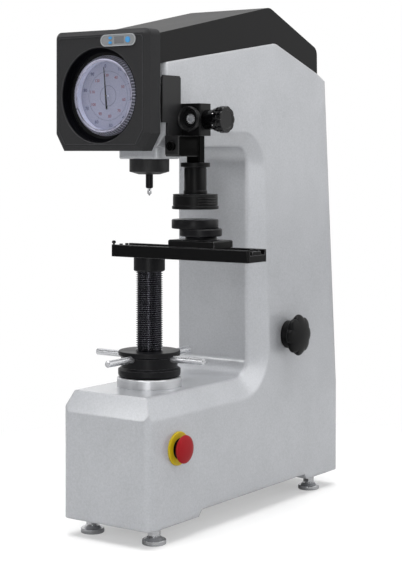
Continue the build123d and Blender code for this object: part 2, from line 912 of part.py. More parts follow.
cone_back = bezel_front + bezel_lip + bezel_cone
with BuildPart() as bezel_ring:
    with BuildSketch(side.offset(dial_x)):
        with BuildLine():
            Polyline(
                (bezel_front, dial_z + bezel_lip_radius),
                (bezel_front, dial_z + bezel_rim_radius),
                (bezel_front + bezel_lip / 2, dial_z + bezel_rim_radius + bezel_lip / 2),
                (cone_back, dial_z + bezel_radius),
                (recess_floor - case_floor, dial_z + bezel_radius),
                (recess_floor - case_floor, dial_z + case_radius + running_clearance),
                (glass_back, dial_z + case_radius + running_clearance),
                (glass_back, dial_z + case_radius - case_wall / 2),
                (bezel_front + bezel_lip, dial_z + case_radius - case_wall / 2),
                (bezel_front + bezel_lip, dial_z + bezel_lip_radius),
                close=True,
            )
        make_face()
    revolve(axis=Axis((mid_x + dial_x, front_y, dial_z), (0, 1, 0)))
bezel_ring.part.label = "bezel_ring"
export_step(bezel_ring.part, "parts/bezel_ring.step")

with BuildPart() as gauge_glass:
    with BuildSketch(dial_plane(glass_back)):
        Circle(case_radius - case_wall / 2)
    extrude(amount=glass_thick)
gauge_glass.part.label = "gauge_glass"
export_step(gauge_glass.part, "parts/gauge_glass.step")

# ---------------------------------------------------------------- spindle head
with BuildPart() as spindle_nose:
    with BuildSketch(floor.offset(nose_bottom)):
        with Locations((0, (nose_front + nose_back) / 2)):
            RectangleRounded(2 * nose_half_width, nose_back - nose_front, nose_radius)
    extrude(amount=throat_ceiling - nose_bottom)
    fillet(faces().sort_by(Axis.Z)[0].edges(), bezel_lip * 2)
    with BuildSketch(spindle_floor.offset(throat_ceiling)):
        Circle(bush_radius)
    extrude(amount=bush_top - throat_ceiling)
    with Locations(spindle_floor.offset(bush_top)):
        Hole(spindle_radius + running_clearance)
spindle_nose.part.label = "spindle_nose"
export_step(spindle_nose.part, "parts/spindle_nose.step")

with BuildPart() as spindle_guard:
    with BuildSketch(side):
        guard_low = nose_bottom - guard_straight
        with BuildLine():
            Polyline(
                (spindle_y + guard_bore, nose_bottom - guard_wall),
                (spindle_y + guard_radius, nose_bottom),
                (spindle_y + guard_radius, guard_low),
                (spindle_y + guard_mouth_radius, guard_low - guard_cone),
                (spindle_y + guard_bore, guard_low - guard_cone),
                close=True,
            )
        make_face()
    revolve(axis=Axis(spindle_floor.origin, (0, 0, 1)))
    with BuildSketch(spindle_floor.offset(guard_low)):
        Circle(guard_radius - guard_wall)
    extrude(amount=guard_straight, mode=Mode.SUBTRACT)
spindle_guard.part.label = "spindle_guard"
export_step(spindle_guard.part, "parts/spindle_guard.step")

with BuildPart() as spindle:
    with BuildSketch(spindle_floor.offset(spindle_nose_top)):
        Circle(spindle_radius)
    extrude(amount=spindle_top - spindle_nose_top)
    with BuildSketch(spindle_floor.offset(spindle_bottom)):
        Circle(spindle_nose_radius)
    extrude(amount=spindle_nose_top - spindle_bottom)
    chamfer(edges().filter_by(GeomType.CIRCLE).group_by(Axis.Z)[0], bezel_lip)
    with BuildSketch(spindle_floor.offset(bush_top + gap)):
        Circle(spindle_stop_radius)
    extrude(amount=spindle_stop)
    with BuildSketch(spindle_floor.offset(spindle_bottom)):
        Circle(indenter_shank_radius)
    extrude(amount=indenter_shank, mode=Mode.SUBTRACT)
spindle.part.label = "spindle"
export_step(spindle.part, "parts/spindle.step")

with BuildPart() as indenter:
    with BuildSketch(side):
        with BuildLine():
            Polyline(
                (spindle_y, indenter_tip),
                (spindle_y + indenter_radius, indenter_tip + indenter_cone),
                (spindle_y + indenter_radius, indenter_tip + 2 * indenter_cone),
                (spindle_y + indenter_shank_radius, spindle_bottom),
                (spindle_y + indenter_shank_radius, spindle_bottom + indenter_shank),
                (spindle_y, spindle_bottom + indenter_shank),
                close=True,
            )
        make_face()
    revolve(axis=Axis(spindle_floor.origin, (0, 0, 1)))
indenter.part.label = "indenter"
export_step(indenter.part, "parts/indenter.step")

# ---------------------------------------------------------------- load train inside the frame
ceiling_floor = throat_ceiling + wall  # the cavity's floor in the head
lever_low = spindle_top + gap
lever_top = lever_pin_z + lever_height / 2

with BuildPart() as lever_posts:
    with BuildSketch(floor.offset(ceiling_floor)):
        for hand in (-1, 1):
            with Locations((hand * (lever_thick + pivot_post_thick + 2 * gap) / 2, lever_pivot_y)):
                Rectangle(pivot_post_thick, pivot_post_depth)
    extrude(amount=lever_top - ceiling_floor)
    with BuildSketch(side):
        with Locations((lever_pivot_y, lever_pin_z)):
            Circle(lever_pin_radius)
    extrude(amount=lever_thick / 2 + pivot_post_thick + 2 * gap, both=True)
lever_posts.part.label = "lever_posts"
export_step(lever_posts.part, "parts/lever_posts.step")

with BuildPart() as load_lever:
    with BuildSketch(side):
        with BuildLine():
            Polyline(
                (lever_pivot_y - lever_tip, lever_low),
                (lever_pivot_y - lever_tip, lever_top),
                (hanger_y + lever_tip, lever_top),
                (hanger_y + lever_tip, lever_low),
                close=True,
            )
        make_face()
        with Locations((lever_pivot_y, lever_pin_z)):
            Circle(lever_pin_radius + running_clearance, mode=Mode.SUBTRACT)
    extrude(amount=lever_thick / 2, both=True)
load_lever.part.label = "load_lever"
export_step(load_lever.part, "parts/load_lever.step")

with BuildPart() as weight_hanger:
    with BuildSketch(front(hanger_y - lever_tip / 2)):
        with Locations((0, (lever_low + lever_top) / 2)):
            Rectangle(hook_width, lever_top - lever_low + 2 * pivot_post_thick)
            Rectangle(lever_thick + 4 * gap, lever_top - lever_low + 2 * gap, mode=Mode.SUBTRACT)
    extrude(amount=-lever_tip)
    with BuildSketch(floor.offset(hanger_bottom)):
        with Locations((0, hanger_y)):
            Circle(hanger_rod_radius)
    extrude(amount=lever_low - pivot_post_thick - hanger_bottom + gap)
    with BuildSketch(floor.offset(hanger_bottom)):
        with Locations((0, hanger_y)):
            Circle(hanger_plate_radius)
    extrude(amount=hanger_plate)
weight_hanger.part.label = "weight_hanger"
export_step(weight_hanger.part, "parts/weight_hanger.step")

with BuildPart() as weight_stack:
    for number in range(weight_count):
        with BuildSketch(floor.offset(hanger_bottom + hanger_plate + number * weight_height)):
            with Locations((0, hanger_y)):
                Circle(weight_radius)
                Circle(hanger_rod_radius, mode=Mode.SUBTRACT)
        extrude(amount=weight_height - gap)
weight_stack.part.label = "weight_stack"
export_step(weight_stack.part, "parts/weight_stack.step")

with BuildPart() as oil_buffer:
    with BuildSketch(floor.offset(cavity_floor)):
        with Locations((0, buffer_y)):
            Circle(buffer_radius)
    extrude(amount=buffer_height)
    with BuildSketch(floor.offset(cavity_floor + buffer_height)):
        with Locations((0, buffer_y)):
            Circle(buffer_rod_radius)
    extrude(amount=spindle_top - cavity_floor - buffer_height)
oil_buffer.part.label = "oil_buffer"
export_step(oil_buffer.part, "parts/oil_buffer.step")

with BuildPart() as drive_motor:
    with BuildSketch(side):
        with Locations((motor_y, motor_z)):
            Circle(motor_radius)
        with BuildLine():
            Polyline(
                (motor_y - motor_radius, cavity_floor),
                (motor_y + motor_radius, cavity_floor),
                (motor_y + motor_radius, motor_z),
                (motor_y - motor_radius, motor_z),
                close=True,
            )
        make_face()
    extrude(amount=motor_length / 2, both=True)
    with BuildSketch(side.offset(-motor_length / 2)):
        with Locations((motor_y, motor_z)):
            Circle(lever_pin_radius)
    extrude(amount=-motor_saddle_height / 2)
drive_motor.part.label = "drive_motor"
export_step(drive_motor.part, "parts/drive_motor.step")

# ---------------------------------------------------------------- elevating screw and handwheel
boss_top = base_top + boss_height
wheel_bottom = boss_top + gap
rod_height = wheel_bottom + rod_rise
waist_bottom = wheel_bottom + wheel_disc
waist_top = waist_bottom + wheel_waist

with BuildPart() as screw_boss:
    with BuildSketch(spindle_floor.offset(base_top)):
        Circle(boss_radius)
    extrude(amount=boss_height)
    chamfer(edges().filter_by(GeomType.CIRCLE).group_by(Axis.Z)[-1], bezel_lip)
    with BuildSketch(spindle_floor.offset(boss_bottom)):
        Circle(boss_spigot_radius)
    extrude(amount=base_top - boss_bottom)
    with Locations(spindle_floor.offset(boss_top)):
        Hole(screw_radius_major + running_clearance)
screw_boss.part.label = "screw_boss"
export_step(screw_boss.part, "parts/screw_boss.step")

with BuildPart() as thrust_bearing:
    with BuildSketch(spindle_floor.offset(boss_top)):
        Circle(bearing_radius)
        Circle(bearing_bore, mode=Mode.SUBTRACT)
    extrude(amount=bearing_height)
thrust_bearing.part.label = "thrust_bearing"
export_step(thrust_bearing.part, "parts/thrust_bearing.step")

with BuildPart() as handwheel:
    with BuildSketch(side):
        with BuildLine():
            Polyline(
                (spindle_y, wheel_bottom),
                (spindle_y + wheel_radius, wheel_bottom),
                (spindle_y + wheel_radius, waist_bottom),
                (spindle_y + wheel_waist_radius, waist_bottom + wheel_waist_slope),
                (spindle_y + wheel_waist_radius, waist_top - wheel_waist_slope),
                (spindle_y + wheel_top_radius, waist_top),
                (spindle_y + wheel_top_radius, wheel_top),
                (spindle_y, wheel_top),
                close=True,
            )
        make_face()
    revolve(axis=Axis(spindle_floor.origin, (0, 0, 1)))
    rims = edges().filter_by(GeomType.CIRCLE)
    fillet(rims.group_by(Axis.Z)[0].sort_by(Edge.length)[-1], wheel_round)
    fillet(edges().filter_by(GeomType.CIRCLE).group_by(Axis.Z)[-1], bezel_lip)
    with Locations(spindle_floor.offset(wheel_top)):
        Hole(screw_radius_major + running_clearance)
    with BuildSketch(spindle_floor.offset(wheel_bottom)):
        Circle(bearing_radius + gap)
    extrude(amount=bearing_height, mode=Mode.SUBTRACT)
    for turn in range(rod_count):
        with BuildSketch(
            Plane(
                origin=(mid_x, front_y + spindle_y, rod_height),
                x_dir=(0, 0, 1),
                z_dir=(cos(turn * 2 * pi / rod_count), sin(turn * 2 * pi / rod_count), 0),
            ).offset(rod_root)
        ):
            Circle(rod_radius)
        extrude(amount=wheel_radius, mode=Mode.SUBTRACT)
handwheel.part.label = "handwheel"
export_step(handwheel.part, "parts/handwheel.step")

with BuildPart() as handwheel_rods:
    for turn in range(rod_count):
        with BuildSketch(
            Plane(
                origin=(mid_x, front_y + spindle_y, rod_height),
                x_dir=(0, 0, 1),
                z_dir=(cos(turn * 2 * pi / rod_count), sin(turn * 2 * pi / rod_count), 0),
            ).offset(rod_root)
        ):
            Circle(rod_radius)
        extrude(amount=rod_reach - rod_root)
    tips = edges().filter_by(GeomType.CIRCLE).filter_by(
        lambda e: (e.center() - Vector(*spindle_floor.origin) - Vector(0, 0, rod_height)).length
        > (rod_reach + rod_root) / 2
    )
    chamfer(tips, bezel_lip)
handwheel_rods.part.label = "handwheel_rods"
export_step(handwheel_rods.part, "parts/handwheel_rods.step")

with BuildPart() as elevating_screw:
    with BuildSketch(spindle_floor.offset(screw_bottom)):
        Circle(screw_radius_major)
    extrude(amount=screw_top - screw_bottom)
    chamfer(edges().filter_by(GeomType.CIRCLE).group_by(Axis.Z)[0], bezel_lip)
elevating_screw.part.label = "elevating_screw"
export_step(elevating_screw.part, "parts/elevating_screw.step")

with BuildPart() as screw_collar:
    with BuildSketch(spindle_floor.offset(collar_bottom)):
        Circle(collar_radius)
    extrude(amount=collar_top - collar_bottom)
    chamfer(edges().filter_by(GeomType.CIRCLE).group_by(Axis.Z)[0], bezel_lip)
    with BuildSketch(spindle_floor.offset(collar_bottom)):
        Circle(screw_radius_major)
    extrude(amount=screw_top - collar_bottom, mode=Mode.SUBTRACT)
screw_collar.part.label = "screw_collar"
export_step(screw_collar.part, "parts/screw_collar.step")

# ---------------------------------------------------------------- slide and carriage
rail_top = collar_top + rail_height
channel_floor = rail_top - rail_channel
rail_middle = (rail_left + rail_right) / 2
rail_length = rail_right - rail_left

with BuildPart() as slide_rail:
    with BuildSketch(floor.offset(collar_top)):
        with Locations((rail_middle, spindle_y)):
            Rectangle(rail_length, rail_width)
    extrude(amount=rail_height)
    with BuildSketch(floor.offset(channel_floor)):
        with Locations((rail_middle, spindle_y)):
            Rectangle(rail_length, rail_width - 2 * rail_ridge)
    extrude(amount=rail_channel, mode=Mode.SUBTRACT)
    chamfer(edges().filter_by(Axis.X).group_by(Axis.Z)[-1], bezel_lip / 2)
    fillet(edges().filter_by(Axis.Z).group_by(Axis.Y)[0], rail_corner)
    fillet(edges().filter_by(Axis.Z).group_by(Axis.Y)[-1], rail_corner)
slide_rail.part.label = "slide_rail"
export_step(slide_rail.part, "parts/slide_rail.step")

with BuildPart() as rail_stops:
    with BuildSketch(floor.offset(channel_floor)):
        for stop_x in (rail_left + stop_length / 2 + bezel_lip, rail_right - stop_length / 2 - bezel_lip):
            with Locations((stop_x, spindle_y)):
                Rectangle(stop_length, stop_width)
    extrude(amount=stop_height)
    chamfer(edges().group_by(Axis.Z)[-1], bezel_lip / 2)
rail_stops.part.label = "rail_stops"
export_step(rail_stops.part, "parts/rail_stops.step")

carriage_top = rail_top + carriage_plate
with BuildPart() as carriage:
    with BuildSketch(floor.offset(channel_floor + running_clearance)):
        with Locations((carriage_x, spindle_y)):
            Rectangle(carriage_length, rail_width - 2 * rail_ridge - 2 * gap)
    extrude(amount=carriage_top - channel_floor - running_clearance)
    with BuildSketch(floor.offset(rail_top + gap)):
        with Locations((carriage_x, spindle_y)):
            Rectangle(carriage_length, carriage_top_width)
    extrude(amount=carriage_plate - gap)
    chamfer(edges().group_by(Axis.Z)[-1], bezel_lip)
carriage.part.label = "carriage"
export_step(carriage.part, "parts/carriage.step")

# ---------------------------------------------------------------- anvil
anvil_floor = Plane(origin=(mid_x + anvil_x, front_y + spindle_y, carriage_top))
seat_bottom = socket_height
plate_bottom = seat_bottom + seat_height

with BuildPart() as anvil_socket:
    with BuildSketch(anvil_floor):
        Circle(socket_radius)
    extrude(amount=socket_height, taper=20)
    with Locations(anvil_floor.offset(socket_height)):
        Hole(stem_radius + running_clearance)
anvil_socket.part.label = "anvil_socket"
export_step(anvil_socket.part, "parts/anvil_socket.step")

with BuildPart() as anvil_seat:
    with BuildSketch(anvil_floor.offset(seat_bottom)):
        Circle(seat_radius)
    extrude(amount=seat_height)
    chamfer(edges().filter_by(GeomType.CIRCLE), anvil_chamfer)
    with BuildSketch(anvil_floor.offset(gap)):
        Circle(stem_radius)
    extrude(amount=seat_bottom)
anvil_seat.part.label = "anvil_seat"
export_step(anvil_seat.part, "parts/anvil_seat.step")

with BuildPart() as anvil_plate:
    with BuildSketch(anvil_floor.offset(plate_bottom)):
        with Locations((anvil_plate_x - anvil_x, 0)):
            Circle(plate_radius)
    extrude(amount=plate_height)
    chamfer(edges().filter_by(GeomType.CIRCLE), anvil_chamfer)
anvil_plate.part.label = "anvil_plate"
export_step(anvil_plate.part, "parts/anvil_plate.step")

# ---------------------------------------------------------------- measuring microscope
scope_floor = Plane(origin=(mid_x + scope_x, front_y + spindle_y, 0))
bracket_face = bracket_seat + bracket_thick

with BuildPart() as scope_bracket:
    with BuildSketch(side.offset(bracket_seat)):
        with BuildLine():
            Polyline(
                (bracket_front, bracket_notch),
                (bracket_notch_back, bracket_notch),
                (bracket_notch_back, bracket_bottom),
                (bracket_back, bracket_bottom),
                (bracket_back, block_top),
                (bracket_tab_back, block_top),
                (bracket_tab_back, bracket_top),
                (bracket_front, bracket_top),
                close=True,
            )
        make_face()
        chamfer(vertices().group_by(Axis.Y)[-1], bezel_lip * 2)
    extrude(amount=bracket_thick)
    with BuildSketch(floor.offset(clamp_bottom)):
        with Locations(((bracket_seat + clamp_right) / 2, (clamp_front + arm_front) / 2)):
            Rectangle(clamp_right - bracket_seat, arm_front - clamp_front)
    extrude(amount=bracket_bottom - clamp_bottom)
    chamfer(edges().filter_by(Axis.X).group_by(Axis.Z)[0], bezel_lip * 2)
    with BuildSketch(front(clamp_front)):
        with Locations((clamp_screw_x, clamp_screw_z)):
            Circle(clamp_screw_shank)
    extrude(amount=-clamp_screw_length, mode=Mode.SUBTRACT)
scope_bracket.part.label = "scope_bracket"
export_step(scope_bracket.part, "parts/scope_bracket.step")

with BuildPart() as clamp_screw:
    with BuildSketch(front(clamp_front)):
        with Locations((clamp_screw_x, clamp_screw_z)):
            Circle(clamp_screw_radius)
    extrude(amount=clamp_screw_head)
    chamfer(edges().filter_by(GeomType.CIRCLE).group_by(Axis.Y)[0], bezel_lip / 2)
    with BuildSketch(front(clamp_front)):
        with Locations((clamp_screw_x, clamp_screw_z)):
            Circle(clamp_screw_shank)
    extrude(amount=-clamp_screw_length)
    with BuildSketch(front(clamp_front - clamp_screw_head)):
        with Locations((clamp_screw_x, clamp_screw_z)):
            RegularPolygon(clamp_screw_radius / 2, 6)
    extrude(amount=-clamp_screw_head * 0.7, mode=Mode.SUBTRACT)
clamp_screw.part.label = "clamp_screw"
export_step(clamp_screw.part, "parts/clamp_screw.step")

with BuildPart() as scope_block:
    with BuildSketch(floor.offset(bracket_bottom)):
        with Locations(((bracket_face + block_right) / 2, (block_front + block_back) / 2)):
            Rectangle(block_right - bracket_face, block_back - block_front)
    extrude(amount=block_top - bracket_bottom)
    chamfer(edges().filter_by(Axis.Z).group_by(Axis.X)[-1], bezel_lip)
    with BuildSketch(front(block_front)):
        with Locations((eyepiece_x, eyepiece_z)):
            Circle(eyepiece_bore)
    extrude(amount=-eyepiece_bore, mode=Mode.SUBTRACT)
scope_block.part.label = "scope_block"
export_step(scope_block.part, "parts/scope_block.step")

eyepiece_plane = Plane(
    origin=(mid_x + eyepiece_x, front_y + block_front, eyepiece_z), x_dir=(1, 0, 0), z_dir=(0, -1, 0)
)
eyepiece_length = block_front - eyepiece_front
with BuildPart() as eyepiece_tube:
    with BuildSketch(eyepiece_plane):
        Circle(eyepiece_flange_radius)
        Circle(lens_radius, mode=Mode.SUBTRACT)
    extrude(amount=lens_thick)
    with BuildSketch(eyepiece_plane.offset(-eyepiece_bore)):
        Circle(eyepiece_bore)
        Circle(lens_radius, mode=Mode.SUBTRACT)
    extrude(amount=eyepiece_bore)
eyepiece_tube.part.label = "eyepiece_tube"
export_step(eyepiece_tube.part, "parts/eyepiece_tube.step")

with BuildPart() as eyepiece_lens:
    with BuildSketch(eyepiece_plane.offset(-lens_thick)):
        Circle(lens_radius)
    extrude(amount=2 * lens_thick)
    fillet(edges().filter_by(GeomType.CIRCLE).group_by(Axis.Y)[0], lens_thick / 2)
eyepiece_lens.part.label = "eyepiece_lens"
export_step(eyepiece_lens.part, "parts/eyepiece_lens.step")

with BuildPart() as focus_ring:
    with BuildSketch(eyepiece_plane.offset(lens_thick + gap)):
        Circle(eyepiece_radius)
    extrude(amount=eyepiece_length - lens_thick - gap)
    chamfer(edges().filter_by(GeomType.CIRCLE).group_by(Axis.Y)[0], bezel_lip)
    with BuildSketch(eyepiece_plane.offset(lens_thick + gap)):
        Circle(lens_radius + gap)
    extrude(amount=eyepiece_length, mode=Mode.SUBTRACT)
    cup = faces().filter_by(Axis.Y).sort_by(Axis.Y)[0].inner_wires()[0].edges()
    chamfer(cup, eyepiece_length / 3)
focus_ring.part.label = "focus_ring"
export_step(focus_ring.part, "parts/focus_ring.step")

drum_plane = Plane(
    origin=(mid_x + block_right, front_y + drum_y, drum_z), x_dir=(0, 1, 0), z_dir=(1, 0, 0)
)
neck_length = neck_right - block_right
with BuildPart() as micrometer_neck:
    with BuildSketch(drum_plane):
        Circle(neck_radius)
    extrude(amount=neck_length)
    with BuildSketch(drum_plane.offset(neck_length)):
        Circle(clamp_screw_shank)
    extrude(amount=drum_collar)
micrometer_neck.part.label = "micrometer_neck"
export_step(micrometer_neck.part, "parts/micrometer_neck.step")

with BuildPart() as micrometer_drum:
    with BuildSketch(drum_plane.offset(neck_length + gap)):
        Circle(drum_collar_radius)
    extrude(amount=drum_collar)
    with BuildSketch(drum_plane.offset(neck_length + gap + drum_collar)):
        Circle(drum_radius)
    extrude(amount=drum_right - neck_right - gap - drum_collar)
    chamfer(edges().filter_by(GeomType.CIRCLE).group_by(Axis.X)[-1], bezel_lip)
    with BuildSketch(drum_plane.offset(neck_length + gap)):
        Circle(clamp_screw_shank + running_clearance)
    extrude(amount=drum_collar + gap, mode=Mode.SUBTRACT)
micrometer_drum.part.label = "micrometer_drum"
export_step(micrometer_drum.part, "parts/micrometer_drum.step")

with BuildPart() as scope_arm:
    with BuildSketch(floor.offset(arm_bottom)):
        with Locations(((arm_left + arm_right) / 2, (arm_front + block_back) / 2)):
            Rectangle(arm_right - arm_left, block_back - arm_front)
    extrude(amount=bracket_bottom - arm_bottom)
    chamfer(edges().filter_by(Axis.Z), bezel_lip)
scope_arm.part.label = "scope_arm"
export_step(scope_arm.part, "parts/scope_arm.step")

with BuildPart() as scope_tube:
    with BuildSketch(scope_floor.offset(tube_bottom)):
        Circle(tube_radius)
    extrude(amount=tube_ring_bottom - tube_bottom)
    with BuildSketch(scope_floor.offset(tube_ring_bottom)):
        Circle(tube_ring_radius)
    extrude(amount=arm_bottom - tube_ring_bottom)
    chamfer(edges().filter_by(GeomType.CIRCLE).group_by(Axis.Z)[-1], bezel_lip / 2)
scope_tube.part.label = "scope_tube"
export_step(scope_tube.part, "parts/scope_tube.step")

with BuildPart() as objective_ring:
    with BuildSketch(scope_floor.offset(objective_lip_top)):
        Circle(objective_radius)
    extrude(amount=tube_bottom - gap - objective_lip_top)
    chamfer(edges().filter_by(GeomType.CIRCLE).group_by(Axis.Z)[-1], bezel_lip / 2)
    with BuildSketch(scope_floor.offset(objective_bottom)):
        Circle(objective_lip_radius)
    extrude(amount=objective_lip_top - objective_bottom)
    with BuildSketch(scope_floor.offset(objective_bottom)):
        Circle(objective_bore + running_clearance)
    extrude(amount=tube_bottom - objective_bottom, mode=Mode.SUBTRACT)
objective_ring.part.label = "objective_ring"
export_step(objective_ring.part, "parts/objective_ring.step")

with BuildPart() as objective:
    with BuildSketch(scope_floor.offset(objective_lip_top)):
        Circle(objective_bore)
    extrude(amount=tube_bottom - objective_lip_top)
    chamfer(edges().filter_by(GeomType.CIRCLE).group_by(Axis.Z)[0], objective_lens)
objective.part.label = "objective"
export_step(objective.part, "parts/objective.step")

# ---------------------------------------------------------------- emergency stop
stop_plane = Plane(
    origin=(mid_x + stop_seat, front_y + stop_y, stop_z), x_dir=(0, 1, 0), z_dir=(1, 0, 0)
)
with BuildPart() as stop_ring:
    with BuildSketch(stop_plane):
        Circle(stop_ring_radius)
        Circle(stop_neck_radius, mode=Mode.SUBTRACT)
    extrude(amount=stop_ring_thick)
    chamfer(edges().filter_by(GeomType.CIRCLE).group_by(Axis.X)[-1].sort_by(Edge.length)[-1], bezel_lip / 2)
stop_ring.part.label = "stop_ring"
export_step(stop_ring.part, "parts/stop_ring.step")

with BuildPart() as stop_neck:
    with BuildSketch(stop_plane):
        Circle(stop_neck_radius)
        Circle(stop_stem_radius + running_clearance, mode=Mode.SUBTRACT)
    extrude(amount=stop_neck_length)
stop_neck.part.label = "stop_neck"
export_step(stop_neck.part, "parts/stop_neck.step")

cap_back = stop_neck_length + stop_travel + gap
with BuildPart() as stop_button:
    with BuildSketch(stop_plane.offset(cap_back)):
        Circle(stop_cap_radius)
    extrude(amount=stop_cap_edge + stop_cap_dome)
    fillet(edges().filter_by(GeomType.CIRCLE).group_by(Axis.X)[-1], stop_cap_dome)
    chamfer(edges().filter_by(GeomType.CIRCLE).group_by(Axis.X)[0], bezel_lip)
    with BuildSketch(stop_plane.offset(cap_back)):
        Circle(stop_stem_radius)
    extrude(amount=-cap_back - stop_stem_depth)
stop_button.part.label = "stop_button"
export_step(stop_button.part, "parts/stop_button.step")

# ---------------------------------------------------------------- force selector
knob_plane = Plane(
    origin=(mid_x + knob_seat, front_y + knob_y, knob_z), x_dir=(0, 1, 0), z_dir=(1, 0, 0)
)
with BuildPart() as knob_hub:
    with BuildSketch(knob_plane):
        Circle(knob_hub_radius)
        Circle(knob_shaft_radius + running_clearance, mode=Mode.SUBTRACT)
    extrude(amount=knob_hub_length)
knob_hub.part.label = "knob_hub"
export_step(knob_hub.part, "parts/knob_hub.step")

with BuildPart() as force_knob:
    with BuildSketch(knob_plane.offset(knob_hub_length + gap)):
        Circle(knob_radius)
        with PolarLocations(knob_radius + knob_scallop_radius * 0.62, knob_lobes):
            Circle(knob_scallop_radius, mode=Mode.SUBTRACT)
        fillet(vertices(), knob_dome)
    extrude(amount=knob_thick)
    rim = faces().filter_by(Axis.X).sort_by(Axis.X)[-1].outer_wire().edges()
    fillet(rim, knob_dome)
    with BuildSketch(knob_plane.offset(knob_hub_length + gap + knob_thick - knob_dome)):
        Circle(knob_radius / 2)
    extrude(amount=knob_dome)
    with BuildSketch(knob_plane.offset(knob_hub_length + gap)):
        Circle(knob_shaft_radius)
    extrude(amount=knob_thick - knob_dome, mode=Mode.SUBTRACT)
force_knob.part.label = "force_knob"
export_step(force_knob.part, "parts/force_knob.step")

with BuildPart() as selector_shaft:
    with BuildSketch(side.offset(knob_shaft_end)):
        with Locations((knob_y, knob_z)):
            Circle(knob_shaft_radius)
    extrude(amount=knob_seat + knob_hub_length + gap + knob_thick - knob_dome - knob_shaft_end)
    with BuildSketch(side.offset(knob_shaft_end)):
        with Locations((knob_y, knob_z), (knob_y, knob_z - cam_lobe)):
            Circle(cam_radius)
    extrude(amount=cam_thick)
selector_shaft.part.label = "selector_shaft"
export_step(selector_shaft.part, "parts/selector_shaft.step")

# ---------------------------------------------------------------- levelling feet
foot_names = ("foot_front_left", "foot_rear_left", "foot_front_right", "foot_rear_right")
for name, (x, y) in zip(foot_names, foot_places):
    foot_floor = Plane(origin=(mid_x + x, front_y + y, 0))
    with BuildPart() as foot:
        with BuildSketch(foot_floor):
            Circle(foot_pad_radius)
        extrude(amount=foot_pad_height)
        chamfer(edges().filter_by(GeomType.CIRCLE), bezel_lip / 2)
        with BuildSketch(foot_floor.offset(foot_pad_height)):
            Circle(foot_pad_radius - foot_cone)
        extrude(amount=foot_cone, taper=45)
        with BuildSketch(foot_floor.offset(foot_pad_height)):
            Circle(foot_stud_radius)
        extrude(amount=foot_stud_top - foot_pad_height)
        with BuildSketch(foot_floor.offset(foot_nut_bottom)):
            RegularPolygon(foot_nut_radius, 6)
        extrude(amount=foot_nut_height)
    foot.part.label = name
    export_step(foot.part, f"parts/{name}.step")
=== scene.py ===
"""Looks of the bench hardness tester: paint, turned metal, printed dial, knurls and threads.

Lengths in the classes are millimetres in the machine's own measures: x from its middle plane,
y back from the base's front face and z up from the floor. place() turns them into metres in
the shared frame.
"""

import logging
import math
from dataclasses import dataclass, replace
from enum import Enum
from typing import Any, Iterable, NamedTuple, Sequence

import bmesh
import bpy
import numpy as np
from mathutils import Matrix, Vector


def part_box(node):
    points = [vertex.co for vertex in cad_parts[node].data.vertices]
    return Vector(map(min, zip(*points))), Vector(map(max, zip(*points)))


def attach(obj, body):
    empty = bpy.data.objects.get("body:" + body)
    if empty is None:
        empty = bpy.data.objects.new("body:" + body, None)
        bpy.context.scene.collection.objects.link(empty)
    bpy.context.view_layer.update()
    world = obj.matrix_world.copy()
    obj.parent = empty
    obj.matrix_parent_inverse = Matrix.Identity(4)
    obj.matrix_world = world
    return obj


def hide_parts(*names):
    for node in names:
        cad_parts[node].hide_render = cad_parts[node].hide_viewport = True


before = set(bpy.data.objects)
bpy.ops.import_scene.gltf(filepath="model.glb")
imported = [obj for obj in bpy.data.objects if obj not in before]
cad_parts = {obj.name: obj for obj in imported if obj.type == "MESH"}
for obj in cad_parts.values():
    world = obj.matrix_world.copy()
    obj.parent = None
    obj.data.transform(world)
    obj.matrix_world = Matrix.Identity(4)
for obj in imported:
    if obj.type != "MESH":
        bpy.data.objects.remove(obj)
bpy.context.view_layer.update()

LOG = logging.getLogger("hardness_tester")
# the machine's middle plane and the base's front face, in mm in the shared frame
MID_X = -46.5
FRONT_Y = -259.0
MM_PER_M = 1000.0
TAU = 2.0 * math.pi
WHITE = (1.0, 1.0, 1.0, 1.0)
# materials: the cloud's size and share, the gloss's swing, a pane's smears and the corners lightened by wear
# and painted highlight
CLOUD_MM = 60.0
CLOUD_SHARE = 0.3
GLOSS_SWING = 0.05
SMEAR_MM = 25.0
CORNER_SAMPLES = 4
WEAR_AND_HIGHLIGHT_FROM = 0.98
WEAR_AND_HIGHLIGHT_FULL = 0.8
WEAR_AND_HIGHLIGHT_TINT = (0.60, 0.60, 0.62, 1.0)
# meshes: points this near become one, shorter edges go, and edges that turn more stay sharp
WELD_M = 1e-6
SPECK_M = 1e-7
SHARP_DEGREES = 32.0
ROUND_DEGREES = 50.0
# the dial's numbers: font size for each unit of height, half thickness and added stroke in metres
FONT_SIZE_PER_HEIGHT = 1.4
FONT_RAISE_M = 0.00004
FONT_BOLDER_M = 0.00016
# the photograph's longer side in pixels
IMAGE_LONG_SIDE = 565.0

Array = np.ndarray
Shape = tuple[Array, Array]
Colour = tuple[float, float, float, float]


def place(points: Array) -> Array:
    """Turns machine measures in mm into the shared frame in metres: shift, then divide by 1000."""
    return (np.asarray(points, float) + np.array([MID_X, FRONT_Y, 0.0])) / MM_PER_M


class Extent(NamedTuple):
    """The six sides of a box in machine mm: x from left to right, y from front to back, z upwards."""

    left: float
    right: float
    front: float
    back: float
    low: float
    high: float


def in_mm(box: tuple[Vector, Vector]) -> Extent:
    """Turns a box of the shared frame into machine measures: times 1000, less the shift of place()."""
    low, high = box
    return Extent(low.x * MM_PER_M - MID_X, high.x * MM_PER_M - MID_X, low.y * MM_PER_M - FRONT_Y,
                  high.y * MM_PER_M - FRONT_Y, low.z * MM_PER_M, high.z * MM_PER_M)


def linear(hex_colour: str) -> Colour:
    """Turns an sRGB hex colour into linear light.

    Args:
        hex_colour: six hex digits after a hash sign.

    Returns:
        Linear red, green and blue, and an alpha of one.
    """
    parts = [int(hex_colour[i:i + 2], 16) / 255.0 for i in (1, 3, 5)]
    light = [c / 12.92 if c <= 0.04045 else ((c + 0.055) / 1.055) ** 2.4 for c in parts]
    return (light[0], light[1], light[2], 1.0)


